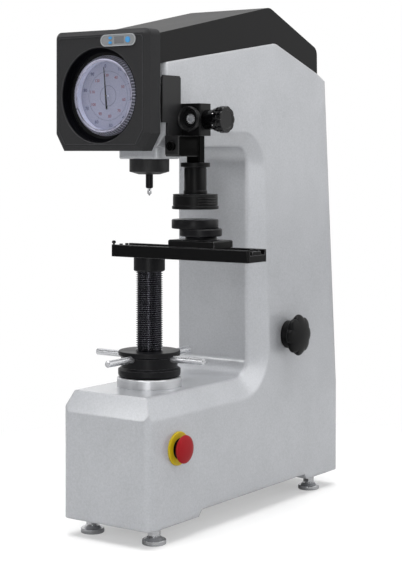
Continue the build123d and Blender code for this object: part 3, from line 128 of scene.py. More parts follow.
# ------------------------------------------------------------------------------ finishes
def add_node(tree: bpy.types.NodeTree, kind: str, settings: dict[str, Any] | None = None,
             inputs: dict[Any, Any] | None = None) -> bpy.types.Node:
    """Adds one node, sets it up and links it.

    Args:
        tree: the node tree that gets the node.
        kind: the node's Blender type without the leading ShaderNode.
        settings: attributes of the node by name.
        inputs: socket by name or number, each with a value or with an output socket.

    Returns:
        The new node.
    """
    node = tree.nodes.new("ShaderNode" + kind)
    for name, value in (settings or {}).items():
        setattr(node, name, value)
    for name, value in (inputs or {}).items():
        if isinstance(value, bpy.types.NodeSocket):
            tree.links.new(value, node.inputs[name])
        else:
            node.inputs[name].default_value = value
    return node


def empty_tree(owner: bpy.types.Material | bpy.types.World) -> bpy.types.NodeTree:
    """Turns on the nodes of a material or a world and takes out those it starts with.

    Args:
        owner: the material or the world.

    Returns:
        Its empty node tree.
    """
    owner.use_nodes = True
    owner.node_tree.nodes.clear()
    return owner.node_tree


def link_object(name: str, data: bpy.types.ID) -> bpy.types.Object:
    """Makes an object at the origin and links it to the scene.

    Args:
        name: the object's name.
        data: its mesh, lamp or camera.

    Returns:
        The new object.
    """
    made = bpy.data.objects.new(name, data)
    bpy.context.scene.collection.objects.link(made)
    return made


class Texture(Enum):
    """How a surface was made, which sets the shape of its fine relief."""

    SPRAYED = "sprayed"        # even round grain of a sprayed or moulded skin
    TURNED_Y = "turned y"      # rings left by a lathe, round the y axis
    TURNED_Z = "turned z"      # the same round the z axis
    GROUND = "ground"          # fine straight lines of a grinding wheel, along x
    POLISHED = "polished"      # the sprayed grain, on faces with next to no relief


# Tool marks are grain drawn out: a face cut on a lathe has fine rings, a turned barrel fine bands.
TOOL_MARKS = {Texture.TURNED_Y: (0.04, 1.0, 0.04), Texture.TURNED_Z: (0.04, 0.04, 1.0),
              Texture.GROUND: (0.03, 1.0, 1.0)}


@dataclass(frozen=True)
class Surface:
    """What every finish has.

    Attributes:
        name: the material's name.
        slot: the record's material slot.
        colour: the sRGB hex colour.
    """

    name: str
    slot: str
    colour: str

    def material(self) -> bpy.types.Material:
        """Builds the material once and finds it again on every later call.

        Returns:
            The material.
        """
        made = bpy.data.materials.get(self.name)
        if made is None:
            made = bpy.data.materials.new(self.name)
            tree = empty_tree(made)
            shader = self._shader(tree, add_node(tree, "TexCoord").outputs["Object"])
            add_node(tree, "OutputMaterial", {}, {"Surface": shader.outputs[0]})
        return made

    def _shader(self, tree: bpy.types.NodeTree, vector: bpy.types.NodeSocket) -> bpy.types.Node:
        """Adds the nodes of this kind of finish, laid on the vector, and returns the shader."""
        raise NotImplementedError


@dataclass(frozen=True)
class Finish(Surface):
    """One real surface finish: paint, metal, plastic or ink.

    Attributes:
        metallic: one for bare metal, a share for metal flake under a clear film.
        roughness: the gloss, from zero for a mirror to one for chalk.
        texture: how the surface was made.
        grain_mm: the size of one grain or the spacing of the tool marks, coarser than the real
            ones, which would be too fine to show in the picture.
        relief_mm: how high the grain stands.
        mottle: the share by which the colour varies from place to place.
        coat: a clear film over the colour.
        specular: the strength of the plain reflection.
        edge_mm: the radius that a broken corner shows in its shading.
        wear_and_highlight: the share by which the corners are lightened: wear from handling, and where it is
            high, as on the silver paint, the black oxide and the feet, a painted highlight along the broken
            edges.
        coat_roughness: the gloss of the clear film.
    """

    metallic: float = 0.0
    roughness: float = 0.5
    texture: Texture = Texture.SPRAYED
    grain_mm: float = 1.0
    relief_mm: float = 0.02
    mottle: float = 0.04
    coat: float = 0.0
    specular: float = 0.5
    edge_mm: float = 0.5
    wear_and_highlight: float = 0.12
    coat_roughness: float = 0.12

    def _shader(self, tree: bpy.types.NodeTree, vector: bpy.types.NodeSocket) -> bpy.types.Node:
        """Mixes the grain with a slow cloud, and both swing the tint and the gloss a little.

        Args:
            tree: the material's node tree.
            vector: the object coordinates.

        Returns:
            The shader node.
        """
        grain = self._grain(tree, vector)
        cloud = add_node(tree, "TexNoise", {}, {
            "Vector": vector, "Scale": MM_PER_M / CLOUD_MM, "Detail": 3.0, "Roughness": 0.55}).outputs["Fac"]
        both = add_node(tree, "Mix", {"data_type": "FLOAT"}, {0: CLOUD_SHARE, 2: grain, 3: cloud}).outputs[0]
        dark, light = (tuple(min(1.0, c * (1.0 + swing)) for c in linear(self.colour)[:3]) + (1.0,)
                       for swing in (-self.mottle, self.mottle))
        share = add_node(tree, "MapRange", {}, {"Value": both, 1: 0.3, 2: 0.7}).outputs[0]
        tint = add_node(tree, "Mix", {"data_type": "RGBA"}, {0: share, 6: dark, 7: light})
        gloss = add_node(tree, "MapRange", {}, {
            "Value": both, 1: 0.25, 2: 0.75, 3: max(0.02, self.roughness - GLOSS_SWING),
            4: min(1.0, self.roughness + GLOSS_SWING)})
        corner = add_node(tree, "Bevel", {"samples": CORNER_SAMPLES},
                          {"Radius": self.edge_mm / MM_PER_M}).outputs[0]
        bump = add_node(tree, "Bump", {}, {
            "Height": grain, "Distance": self.relief_mm / MM_PER_M,
            "Strength": 1.0 if self.relief_mm > 0 else 0.0, "Normal": corner})
        # corners lightened by wear, and where the share is high by a painted highlight
        worn_and_highlit_tint = self._worn_and_highlit(tree, tint.outputs[2], corner)
        return add_node(tree, "BsdfPrincipled", {}, {
            "Base Color": worn_and_highlit_tint, "Metallic": self.metallic, "Roughness": gloss.outputs[0],
            "Coat Weight": self.coat, "Coat Roughness": self.coat_roughness,
            "Specular IOR Level": self.specular, "Normal": bump.outputs[0]})

    def _worn_and_highlit(self, tree: bpy.types.NodeTree, tint: bpy.types.NodeSocket,
              corner: bpy.types.NodeSocket) -> bpy.types.NodeSocket:
        """Lightens the tint along the corners, where the rounded normal leaves the face's own: wear, and
        where the share is high a painted highlight.

        Args:
            tree: the material's node tree.
            tint: the colour away from the corners.
            corner: the rounded normal.

        Returns:
            The colour with its corners lightened by wear and painted highlight.
        """
        face = add_node(tree, "NewGeometry").outputs["Normal"]
        same = add_node(tree, "VectorMath", {"operation": "DOT_PRODUCT"},
                        {0: corner, 1: face}).outputs["Value"]
        share = add_node(tree, "MapRange", {}, {
            "Value": same, 1: WEAR_AND_HIGHLIGHT_FROM, 2: WEAR_AND_HIGHLIGHT_FULL, 3: 0.0, 4: self.wear_and_highlight}).outputs[0]
        return add_node(tree, "Mix", {"data_type": "RGBA"}, {0: share, 6: tint, 7: WEAR_AND_HIGHLIGHT_TINT}).outputs[2]

    def _grain(self, tree: bpy.types.NodeTree, vector: bpy.types.NodeSocket) -> bpy.types.NodeSocket:
        """Adds this texture's fine pattern, one period every grain_mm, drawn out into tool marks.

        Args:
            tree: the material's node tree.
            vector: the object coordinates.

        Returns:
            The pattern's height.
        """
        look = {"Detail": 4.0, "Roughness": 0.6}
        if self.texture in TOOL_MARKS:
            vector = add_node(tree, "Mapping", {}, {
                "Vector": vector, "Scale": TOOL_MARKS[self.texture]}).outputs[0]
            look = {"Detail": 2.0}
        return add_node(tree, "TexNoise", {}, {
            "Vector": vector, "Scale": MM_PER_M / self.grain_mm, **look}).outputs["Fac"]


@dataclass(frozen=True)
class ClearFinish(Surface):
    """A clear pane: mostly see-through, with a plain reflection.

    Attributes:
        cover: how much of what lies behind is hidden.
        roughness: the gloss.
    """

    cover: float = 0.03
    roughness: float = 0.04

    def _shader(self, tree: bpy.types.NodeTree, vector: bpy.types.NodeSocket) -> bpy.types.Node:
        """Lets faint smears swing the gloss of the pane between once and twice its roughness.

        Args:
            tree: the material's node tree.
            vector: the object coordinates.

        Returns:
            The shader node.
        """
        smear = add_node(tree, "TexNoise", {}, {
            "Vector": vector, "Scale": MM_PER_M / SMEAR_MM}).outputs["Fac"]
        gloss = add_node(tree, "MapRange", {}, {
            "Value": smear, 3: self.roughness, 4: self.roughness * 2.0}).outputs[0]
        return add_node(tree, "BsdfPrincipled", {}, {
            "Base Color": linear(self.colour), "Roughness": gloss, "Alpha": self.cover,
            "Specular IOR Level": 0.5})


class Finishes:
    """Every finish of the machine, named for what it is."""

    # Silver metallic stoving paint on the casting: aluminium flake, faintly grainy, under a satin film.
    # the broad pale band along its corners is mostly a painted highlight
    SILVER_PAINT = Finish(
        "silver_metallic_paint", "silver_paint", "#b2b4b8", metallic=0.28, roughness=0.42, grain_mm=2.6,
        relief_mm=0.04, mottle=0.12, coat=0.8, specular=0.30, edge_mm=6.0, wear_and_highlight=0.7, coat_roughness=0.16)
    # Black fine-textured powder coat on folded sheet steel: soft grey sheen at low angles.
    BLACK_POWDER = Finish(
        "black_powder_coat", "black_paint", "#0e0e0f", grain_mm=1.2, relief_mm=0.03, mottle=0.15, coat=0.15,
        specular=0.08, edge_mm=0.8, wear_and_highlight=0.05, coat_roughness=0.34)
    # Moulded ABS with a spark-eroded skin: even dark grey, satin.
    MOULDED_ABS = Finish(
        "moulded_black_abs", "black_plastic", "#323233", roughness=0.55, grain_mm=1.1, relief_mm=0.03,
        mottle=0.10, specular=0.04, edge_mm=0.8, wear_and_highlight=0.06)
    # Moulded phenolic of the knob: satin, with a soft highlight on each lobe.
    PHENOLIC = Finish(
        "black_phenolic", "black_plastic", "#0d0d0e", roughness=0.42, grain_mm=3.0, relief_mm=0.01,
        mottle=0.10, specular=0.12, edge_mm=0.6, wear_and_highlight=0.04)
    # Black oxide on machined steel: nearly black with an oily satin gloss.
    # its pale edges are partly wear and partly a painted highlight
    BLACK_OXIDE = Finish(
        "black_oxide_steel", "black_steel", "#060607", roughness=0.32, texture=Texture.GROUND, grain_mm=0.9,
        relief_mm=0.008, mottle=0.15, specular=0.14, edge_mm=1.1, wear_and_highlight=0.32)
    BLACK_OXIDE_TURNED = Finish(
        "black_oxide_turned_steel", "black_steel", "#131315", roughness=0.38, texture=Texture.TURNED_Z,
        grain_mm=0.8, relief_mm=0.008, mottle=0.15, specular=0.13, edge_mm=0.8, wear_and_highlight=0.22)
    # The guard's black oxide on a bead-blasted skin, dull.
    GUARD = Finish(
        "blasted_black_oxide", "black_steel", "#272728", relief_mm=0.01, mottle=0.12, specular=0.25,
        edge_mm=0.8, wear_and_highlight=0.06)
    # Rolled thread: black oxide that the nut has rubbed bright.
    THREAD = Finish(
        "rubbed_black_oxide_thread", "black_steel", "#54545a", metallic=1.0, roughness=0.24,
        texture=Texture.POLISHED, grain_mm=1.5, relief_mm=0.0, mottle=0.20, edge_mm=0.3, wear_and_highlight=0.30)
    # Ground top of the anvil, worn to dark grey.
    WORN_ANVIL = Finish(
        "ground_anvil_face", "black_steel", "#55565a", metallic=0.5, roughness=0.40, texture=Texture.GROUND,
        grain_mm=1.6, mottle=0.45, edge_mm=0.4, wear_and_highlight=0.2)
    # Black anodised aluminium of the microscope: dull, with crisp bright edges.
    BLACK_ANODISED = Finish(
        "black_anodised_aluminium", "black_anodised", "#141415", roughness=0.36, grain_mm=0.8, relief_mm=0.01,
        mottle=0.12, specular=0.16)
    # Deep black anodising of the arm and its clamp, which hardly mirrors anything; on the sheet over the
    # clamp's right side it is painted shade.
    DULL_BLACK = replace(
        BLACK_ANODISED, name="deep_black_anodised_arm", colour="#030303", roughness=0.42, specular=0.03,
        wear_and_highlight=0.10)
    # Satin black of the tube and the lamp ring: an even, dark grey skin with pale lips.
    SATIN_BLACK = replace(
        BLACK_ANODISED, name="satin_black_anodised_tube", colour="#0a0a0b", roughness=0.40, relief_mm=0.006,
        mottle=0.10, specular=0.12, wear_and_highlight=0.16)
    # The bracket's plate, anodised and a little greyer.
    GREY_ANODISED = Finish(
        "grey_black_anodised_plate", "black_anodised", "#252526", roughness=0.46, relief_mm=0.012,
        mottle=0.10, specular=0.22, wear_and_highlight=0.08)
    # Glossy black anodising on turned parts, with long highlights.
    POLISHED_BLACK = Finish(
        "glossy_black_anodised_aluminium", "black_anodised", "#040405", roughness=0.16,
        texture=Texture.POLISHED, grain_mm=0.8, relief_mm=0.0, mottle=0.12, specular=0.26, edge_mm=0.4,
        wear_and_highlight=0.14)
    # Bright turned steel of rods, screws and indenter.
    BRIGHT_STEEL = Finish(
        "bright_turned_steel", "steel", "#cfd0d3", metallic=0.8, roughness=0.27, texture=Texture.TURNED_Z,
        grain_mm=0.7, relief_mm=0.006, mottle=0.08, edge_mm=0.4, wear_and_highlight=0.3)
    # Matt turned steel of the screw's boss.
    MATT_STEEL = Finish(
        "matt_turned_steel", "steel", "#c9cacd", metallic=0.6, roughness=0.38, texture=Texture.TURNED_Z,
        grain_mm=1.4, mottle=0.08, edge_mm=0.8, wear_and_highlight=0.3)
    # Nickel-plated feet, a little darker and glossier than the turned steel.
    # their pale broken edges are a painted highlight
    NICKEL_FEET = Finish(
        "dull_nickel_plate", "steel", "#c2c3c5", metallic=0.85, roughness=0.24, texture=Texture.TURNED_Z,
        grain_mm=0.8, relief_mm=0.008, mottle=0.12, edge_mm=0.9, wear_and_highlight=0.6)
    # Grey iron of the weights, machined and oiled.
    GREY_IRON = Finish(
        "machined_grey_iron", "weight_iron", "#6e6f72", metallic=1.0, roughness=0.45,
        texture=Texture.TURNED_Z, grain_mm=1.2, mottle=0.12)
    # Bright anodised aluminium bezel, with a faint violet cast.
    BEZEL_ALUMINIUM = Finish(
        "bright_anodised_bezel", "bezel_aluminium", "#a9a9bc", metallic=0.72, roughness=0.28,
        texture=Texture.TURNED_Y, grain_mm=0.8, relief_mm=0.005, mottle=0.06, edge_mm=0.2, wear_and_highlight=0.15)
    # A pale skin on the crests of the bezel's teeth: a painted highlight on the serrations.
    BEZEL_CREST_HIGHLIGHT = Finish(
        "bezel_crest_painted_highlight", "bezel_aluminium", "#dcdcf0", roughness=0.4, texture=Texture.POLISHED,
        relief_mm=0.0, mottle=0.05, wear_and_highlight=0.0)
    # The gauge's case, whose pale wall shows through the pane: the bezel's aluminium made paler and less
    # metallic, a painted reflection of the bright room.
    CASE_WALL = replace(
        BEZEL_ALUMINIUM, name="gauge_case_painted_reflection", colour="#dcdff4", metallic=0.2, roughness=0.35,
        mottle=0.05, wear_and_highlight=0.1)
    # Printed aluminium dial, lavender grey and matt.
    DIAL_PRINT = Finish(
        "printed_dial_face", "dial_face", "#8d8fa5", metallic=0.1, roughness=0.60, texture=Texture.TURNED_Y,
        relief_mm=0.003, mottle=0.03, wear_and_highlight=0.0)
    # The dial's inks, and the blued pointer.
    DIAL_BLACK = Finish(
        "dial_ink_black", "pointer_black", "#3c3f63", roughness=0.6, grain_mm=0.8, relief_mm=0.0, mottle=0.05,
        wear_and_highlight=0.0)
    DIAL_FAINT = replace(DIAL_BLACK, name="dial_ink_faint", colour="#45455a")
    DIAL_RED = replace(DIAL_BLACK, name="dial_ink_red", slot="red_plastic", colour="#7c4a57")
    POINTER = replace(DIAL_BLACK, name="blued_pointer", colour="#06060c", grain_mm=0.6, specular=0.05)
    # The small brass cap on the pointer's hub, gone dull.
    BRASS = Finish(
        "dull_brass", "steel", "#5c5142", metallic=1.0, roughness=0.35, texture=Texture.POLISHED,
        relief_mm=0.002, mottle=0.05)
    # Membrane panel, its display window and its blue keys.
    PANEL = Finish("panel_membrane", "panel_grey", "#808284", roughness=0.45, relief_mm=0.004, specular=0.3)
    PANEL_RIM = replace(PANEL, name="panel_rim", colour="#a7aaad", roughness=0.4)
    DISPLAY = Finish(
        "display_window_tint", "display", "#54565a", roughness=0.2, texture=Texture.POLISHED, grain_mm=1.5,
        relief_mm=0.0, mottle=0.08, coat=0.3)
    BLUE_KEY = Finish(
        "blue_key_plastic", "blue_plastic", "#1f86c4", roughness=0.32, relief_mm=0.004, coat=0.2)
    YELLOW = Finish(
        "yellow_backplate_plastic", "yellow_plastic", "#c4ab14", roughness=0.42, grain_mm=1.5,
        relief_mm=0.004, mottle=0.05, specular=0.3, wear_and_highlight=0.05)
    RED = Finish(
        "red_mushroom_plastic", "red_plastic", "#92121a", roughness=0.45, grain_mm=2.0, relief_mm=0.004,
        mottle=0.06, specular=0.14, edge_mm=0.6, wear_and_highlight=0.02)
    # The recess round the gauge: near black and dull, painted shade in the recess.
    RECESS_SHADE = Finish(
        "recess_painted_shade", "black_plastic", "#050509", roughness=0.7, relief_mm=0.01, mottle=0.10,
        specular=0.06, edge_mm=0.4, wear_and_highlight=0.0)
    # The housing's raised lines, a little greyer than the housing: a painted highlight along them.
    HOUSING_LINE_HIGHLIGHT = Finish(
        "moulded_line_painted_highlight", "black_plastic", "#3d3d3f", relief_mm=0.01, mottle=0.06, specular=0.1,
        edge_mm=0.3, wear_and_highlight=0.05)
    GAUGE_GLASS = ClearFinish("gauge_glass_pane", "glass", "#dfe3ee")
    # Lens glass, pale grey and mottled: a painted reflection of the bright room, over the coat's real one.
    LENS = Finish(
        "coated_lens_painted_reflection", "lens_glass", "#b4b6bb", metallic=0.3, roughness=0.12, texture=Texture.POLISHED,
        grain_mm=4.0, relief_mm=0.01, mottle=0.35, coat=1.0, specular=0.8, wear_and_highlight=0.0)


def dress(nodes: Iterable[str], finish: Surface) -> None:
    """Gives CAD nodes a finish.

    Args:
        nodes: the nodes' names.
        finish: the finish they all get.
    """
    for name in nodes:
        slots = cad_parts[name].data.materials
        slots.clear()
        slots.append(finish.material())
        LOG.info("node %s dressed in %s", name, finish.name)


# ------------------------------------------------------------------------------ meshes
def grid_faces(rows: int, columns: int, closed_rows: bool = False, closed_columns: bool = False) -> Array:
    """Quads of a grid: corner (i, j), (i, j+1), (i+1, j+1), (i+1, j), counted round where it is closed.

    Args:
        rows: number of grid rows.
        columns: number of grid columns.
        closed_rows: whether the last row meets the first.
        closed_columns: whether the last column meets the first.

    Returns:
        An (n, 4) array of vertex numbers.
    """
    i = np.arange(rows if closed_rows else rows - 1)[:, None]
    j = np.arange(columns if closed_columns else columns - 1)[None, :]
    here, there = (i % rows) * columns, ((i + 1) % rows) * columns
    left, right = j % columns, (j + 1) % columns
    return np.stack([here + left, here + right, there + right, there + left], -1).reshape(-1, 4)


def new_piece(name: str, shape: Shape, body: str, finish: Finish, replaces: Sequence[str] = (),
              sharp_degrees: float = SHARP_DEGREES) -> None:
    """Makes a finished piece from machine points and quads.

    Args:
        name: the piece's name.
        shape: its points in machine mm and its quads.
        body: the CAD body it rides on.
        finish: its finish.
        replaces: the CAD nodes it stands for.
        sharp_degrees: edges that turn more than this stay sharp.
    """
    points, faces = shape
    mesh = bpy.data.meshes.new(name)
    mesh.from_pydata(place(points), [], faces)
    shell = bmesh.new()
    shell.from_mesh(mesh)
    bmesh.ops.remove_doubles(shell, verts=shell.verts, dist=WELD_M)
    bmesh.ops.dissolve_degenerate(shell, edges=shell.edges, dist=SPECK_M)
    bmesh.ops.recalc_face_normals(shell, faces=shell.faces)
    shell.to_mesh(mesh)
    shell.free()
    mesh.polygons.foreach_set("use_smooth", np.ones(len(mesh.polygons), bool))
    mesh.set_sharp_from_angle(angle=math.radians(sharp_degrees))
    mesh.materials.append(finish.material())
    piece = link_object(name, mesh)
    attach(piece, body)
    if replaces:
        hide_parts(*replaces)
    LOG.info("piece %s: %d faces on %s", name, len(mesh.polygons), body)


class Axis(Enum):
    """The axis that a turned piece goes round, as its two cross directions and itself."""

    X = ((0, 1, 0), (0, 0, 1), (1, 0, 0))
    Y = ((1, 0, 0), (0, 0, 1), (0, 1, 0))
    Z = ((1, 0, 0), (0, 1, 0), (0, 0, 1))


def turned(profile: Sequence[tuple[float, float]], centre: Sequence[float], axis: Axis, steps: int = 96,
           ripple: Array | None = None, closed: bool = False) -> Shape:
    """Turns a profile round an axis: point = centre + r (cos t, sin t) + height along the axis.

    Args:
        profile: (radius, height) pairs, in order along the section.
        centre: a point on the axis, in machine mm.
        axis: the axis it goes round.
        steps: how many columns go round.
        ripple: a (profile, steps) array added to the radii, for knurls and lobes.
        closed: whether the profile's end meets its start, as on a ring.

    Returns:
        The points and the quads.
    """
    section = np.asarray(profile, float)
    angle = np.arange(steps) * TAU / steps
    radius = np.repeat(section[:, :1], steps, 1)
    if ripple is not None:
        radius = radius + ripple
    across, upward, along = (np.array(v, float) for v in axis.value)
    points = (np.asarray(centre, float)
              + (radius * np.cos(angle))[..., None] * across
              + (radius * np.sin(angle))[..., None] * upward
              + section[:, 1][:, None, None] * along)
    return points.reshape(-1, 3), grid_faces(len(section), steps, closed, True)


def merged(parts: Iterable[Shape]) -> Shape:
    """Puts several shapes into one, moving the vertex numbers of the quads on.

    Args:
        parts: the shapes.

    Returns:
        All points and all quads.
    """
    points, faces, start = [], [], 0
    for part_points, part_faces in parts:
        points.append(part_points)
        faces.append(part_faces + start)
        start += len(part_points)
    return np.concatenate(points), np.concatenate(faces)


def cap_head(base: Sequence[float], axis: Axis, radius: float, height: float) -> Shape:
    """A socket-head screw's head: a short barrel with a broken edge and a six-sided socket.

    Args:
        base: the middle of its seat, in machine mm.
        axis: the axis it stands on.
        radius: the head's radius.
        height: the head's height along the axis.

    Returns:
        The points and the quads.
    """
    steps = 36
    socket, floor = radius * 0.5, height * 0.45
    section = [(0.0, 0.0), (radius, 0.0), (radius, height - 0.3), (radius - 0.3, height),
               (radius * 0.55, height), (socket, height - 0.15), (socket, floor), (0.0, floor)]
    angle = np.arange(steps) * TAU / steps
    flats = math.cos(math.pi / 6.0) / np.cos((angle + math.pi / 6.0) % (math.pi / 3.0) - math.pi / 6.0)
    ripple = np.zeros((len(section), steps))
    ripple[5:7] = socket * (flats - 1.0)
    return turned(section, base, axis, steps, ripple)


def teeth(count: int, steps: int, sharpness: float = 1.0) -> Array:
    """A knurl's outline: a cosine wave of count teeth, to a power, between zero and minus one."""
    wave = 0.5 - 0.5 * np.cos(np.arange(steps) * TAU * count / steps)
    return -(wave ** sharpness)


def cut_rectangle(left: float, right: float, low: float, high: float, foot: tuple[float, float],
                  head: tuple[float, float]) -> Array:
    """A rectangle with its corners cut: each side stops short of the corner by that corner's cut.

    Args:
        left: its left side.
        right: its right side.
        low: its lower side.
        high: its upper side.
        foot: the cut across and up at the lower corners.
        head: the cut across and down at the upper corners.

    Returns:
        Its eight corners, counted from the lower left towards the right.
    """
    (across, up), (over, down) = foot, head
    return np.array([(left + across, low), (right - across, low), (right, low + up), (right, high - down),
                     (right - over, high), (left + over, high), (left, high - down), (left, low + up)])


def loop_band(outline: Array, width: float, front: float, back: float) -> Shape:
    """A flat band along a closed outline in x and z, its section a low box between two depths.

    Args:
        outline: an (n, 2) array of x and z, counted one way round a convex shape.
        width: the band's width, laid inwards from the outline.
        front: y of its front face.
        back: y of its hidden back.

    Returns:
        The points and the quads.
    """
    ahead = np.roll(outline, -1, 0) - outline
    ahead /= np.linalg.norm(ahead, axis=1)[:, None]
    normal = np.stack([-ahead[:, 1], ahead[:, 0]], -1)
    both = normal + np.roll(normal, 1, 0)
    inset = both / (0.5 * (both ** 2).sum(1))[:, None]
    inner = outline + width * inset
    rows = [(outline, back), (outline, front), (inner, front), (inner, back)]
    points = np.stack([np.column_stack([xz[:, 0], np.full(len(xz), y), xz[:, 1]]) for xz, y in rows])
    return points.reshape(-1, 3), grid_faces(4, len(outline), False, True)


# ------------------------------------------------------------------------------ sub-assemblies
@dataclass
class Casting:
    """The painted C frame and its covers.

    Attributes:
        painted: the nodes in silver paint.
        coated: the nodes in black powder coat.
    """

    painted: tuple[str, ...] = ("frame_casting", "spindle_nose")
    coated: tuple[str, ...] = ("top_cover", "rear_cover")

    def build(self) -> None:
        """Dresses the casting, the covers and what shows through the rear."""
        dress(self.painted, Finishes.SILVER_PAINT)
        dress(self.coated, Finishes.BLACK_POWDER)
        dress(("rear_cover_screws",), Finishes.BRIGHT_STEEL)
        dress(("power_inlet",), Finishes.MOULDED_ABS)


@dataclass
class LoadTrain:
    """The lever, weights, dashpot and motor inside the frame.

    Attributes:
        steel: the nodes of turned steel.
        iron: the nodes of grey iron.
    """

    steel: tuple[str, ...] = ("load_lever", "lever_posts", "weight_hanger", "selector_shaft",
                              "thrust_bearing")
    iron: tuple[str, ...] = ("weight_stack", "oil_buffer", "drive_motor")

    def build(self) -> None:
        """Dresses what works inside the frame."""
        dress(self.steel, Finishes.BRIGHT_STEEL)
        dress(self.iron, Finishes.GREY_IRON)


@dataclass
class DialGauge:
    """The dial gauge in the housing's recess: knurled bezel, printed face, pointer and pane.

    Attributes:
        x: centre of the dial.
        z: its height.
        rim: the bezel's outer radius.
        lip: the bezel's inner radius.
        case: the radius of the case that the bezel turns on.
        pane: the pane's radius.
        knurl_count: serrations round the rim.
        knurl_depth: their depth.
        turn_degrees: how far the printed face is turned, clockwise from the front.
        outer_numbers: the radius of the outer row of numbers.
        inner_numbers: the radius of the inner row.
        scale_radius: the radius at which the ticks start.
        recess: the radius of the housing's recess.
        mouth: y of the recess's mouth.
        pointer_lean: the pointer's lean to the left, in degrees.
        ink: the print's thickness.
    """

    x: float = -2.0
    z: float = 647.0
    rim: float = 58.5
    lip: float = 50.0
    case: float = 53.45
    pane: float = 51.95
    knurl_count: int = 78
    knurl_depth: float = 2.2
    turn_degrees: float = -6.5
    outer_numbers: float = 43.5
    inner_numbers: float = 30.0
    scale_radius: float = 35.5
    recess: float = 68.0
    mouth: float = -12.0
    pointer_lean: float = 5.0
    ink: float = 0.06

    @property
    def centre(self) -> tuple[float, float, float]:
        """The point of the dial's axis that lies over the base's front face."""
        return (self.x, 0.0, self.z)

    def build(self) -> None:
        """Dresses the case, the pane and the plate, and builds the bezel, recess, print and pointer."""
        dress(("gauge_case",), Finishes.CASE_WALL)
        dress(("gauge_glass",), Finishes.GAUGE_GLASS)
        dress(("dial_plate",), Finishes.DIAL_PRINT)
        self._bezel()
        self._recess()
        self._print()
        self._pointer()

    def _bezel(self) -> None:
        """A ring with a flat lip and a sloping band, serrated down the slope and the rim's side, and a pale
        skin on the teeth's crests as their painted highlight.
        """
        bezel = in_mm(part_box("bezel_ring"))
        front, back = bezel.front, bezel.back
        steps = self.knurl_count * 8
        flat = self.lip + 3.6
        slope = np.linspace(0.0, 1.0, 6)
        smooth = [(self.lip - 0.6, front + 1.5), (self.lip - 0.6, front + 1.2), (self.lip + 1.2, front + 0.1),
                  (self.lip + 1.6, front), (flat - 0.3, front), (flat, front + 0.15)]
        band = [(flat + 0.6 + t * (self.rim - flat - 0.6), front + 0.6 + t * 6.9) for t in slope]
        side = [(self.rim, back - 0.8), (self.rim - 0.6, back)]
        inside = [(self.case, back), (self.case, front + 3.0), (self.pane, front + 3.0),
                  (self.pane, front + 1.55), (self.lip - 0.6, front + 1.55)]
        section = smooth + band + side + inside
        wave = teeth(self.knurl_count, steps, 0.7)
        ripple = np.zeros((len(section), steps))
        first = len(smooth)
        depth = np.concatenate([0.35 + 0.65 * slope, [1.0, 0.7]]) * self.knurl_depth
        ripple[first:first + len(depth)] = depth[:, None] * wave
        new_piece("bezel_knurled_ring", turned(section, self.centre, Axis.Y, steps, ripple, closed=True),
                  "bezel", Finishes.BEZEL_ALUMINIUM, ("bezel_ring",))
        # the same band again as a pale painted highlight, 0.12 mm proud on the teeth's crests and sunk
        # everywhere else
        rim = band + side[:1] + [(self.rim - 4.0, back - 0.8), (flat - 2.5, front + 2.5)]
        rise = np.zeros((len(rim), steps))
        proud = depth[:len(band) + 1, None] * wave + 0.12
        rise[:len(band) + 1] = np.where(wave > -0.3, proud, -self.knurl_depth - 0.5)
        new_piece("bezel_tooth_crest_highlights", turned(rim, self.centre, Axis.Y, steps, rise, closed=True), "bezel",
                  Finishes.BEZEL_CREST_HIGHLIGHT)

    def _recess(self) -> None:
        """A near-black lining on the recess's wall and floor, painted shade, and a thin greyer raised line
        round its mouth, a painted highlight.
        """
        wall, mouth = self.recess, self.mouth
        lining = [(wall - 0.1, mouth + 0.4), (wall - 0.1, mouth + 12.8), (wall - 5.6, mouth + 12.8),
                  (wall - 5.6, mouth + 12.5), (wall - 0.5, mouth + 12.5), (wall - 0.5, mouth + 0.4)]
        new_piece("recess_shade_lining", turned(lining, self.centre, Axis.Y, 128, closed=True), "frame",
                  Finishes.RECESS_SHADE)
        line = [(wall + 1.2, mouth + 0.3), (wall + 1.3, mouth - 0.35), (wall + 1.7, mouth - 0.5),
                (wall + 2.1, mouth - 0.35), (wall + 2.2, mouth + 0.3)]
        new_piece("recess_line", turned(line, self.centre, Axis.Y, 128, closed=True), "frame",
                  Finishes.HOUSING_LINE_HIGHLIGHT)

    def _pointer(self) -> None:
        """A tapering blade: half width by distance from the axis, laid along the pointer's lean."""
        blade = in_mm(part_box("pointer"))
        front = blade.front
        lean = math.radians(self.pointer_lean)
        tip = (blade.high - self.z) / math.cos(lean)
        run = np.array([-20.0, -20.0, -18.8, -6.0, 0.0, 5.0, 18.0, tip - 0.2, tip - 0.2])
        half = np.array([0.0, 1.0, 1.4, 1.35, 1.3, 1.1, 0.85, 0.4, 0.0])
        side = np.array([-1.0, 1.0, 1.0, -1.0])
        depth = front + np.array([0.05, 0.05, 0.55, 0.55])
        across = half[:, None] * side
        points = np.stack([self.x - run[:, None] * math.sin(lean) + across * math.cos(lean),
                           np.broadcast_to(depth, across.shape),
                           self.z + run[:, None] * math.cos(lean) + across * math.sin(lean)], -1)
        shape = (points.reshape(-1, 3), grid_faces(len(run), len(side), False, True))
        new_piece("pointer_blade", shape, "pointer", Finishes.POINTER, ("pointer",))
        face = in_mm(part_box("dial_plate")).front
        hub = [(0.0, front - 0.9), (0.6, front - 0.9), (0.9, front - 0.6), (0.9, face - 0.1),
               (0.0, face - 0.1)]
        new_piece("pointer_hub_cap", turned(hub, self.centre, Axis.Y, 32), "pointer", Finishes.BRASS)

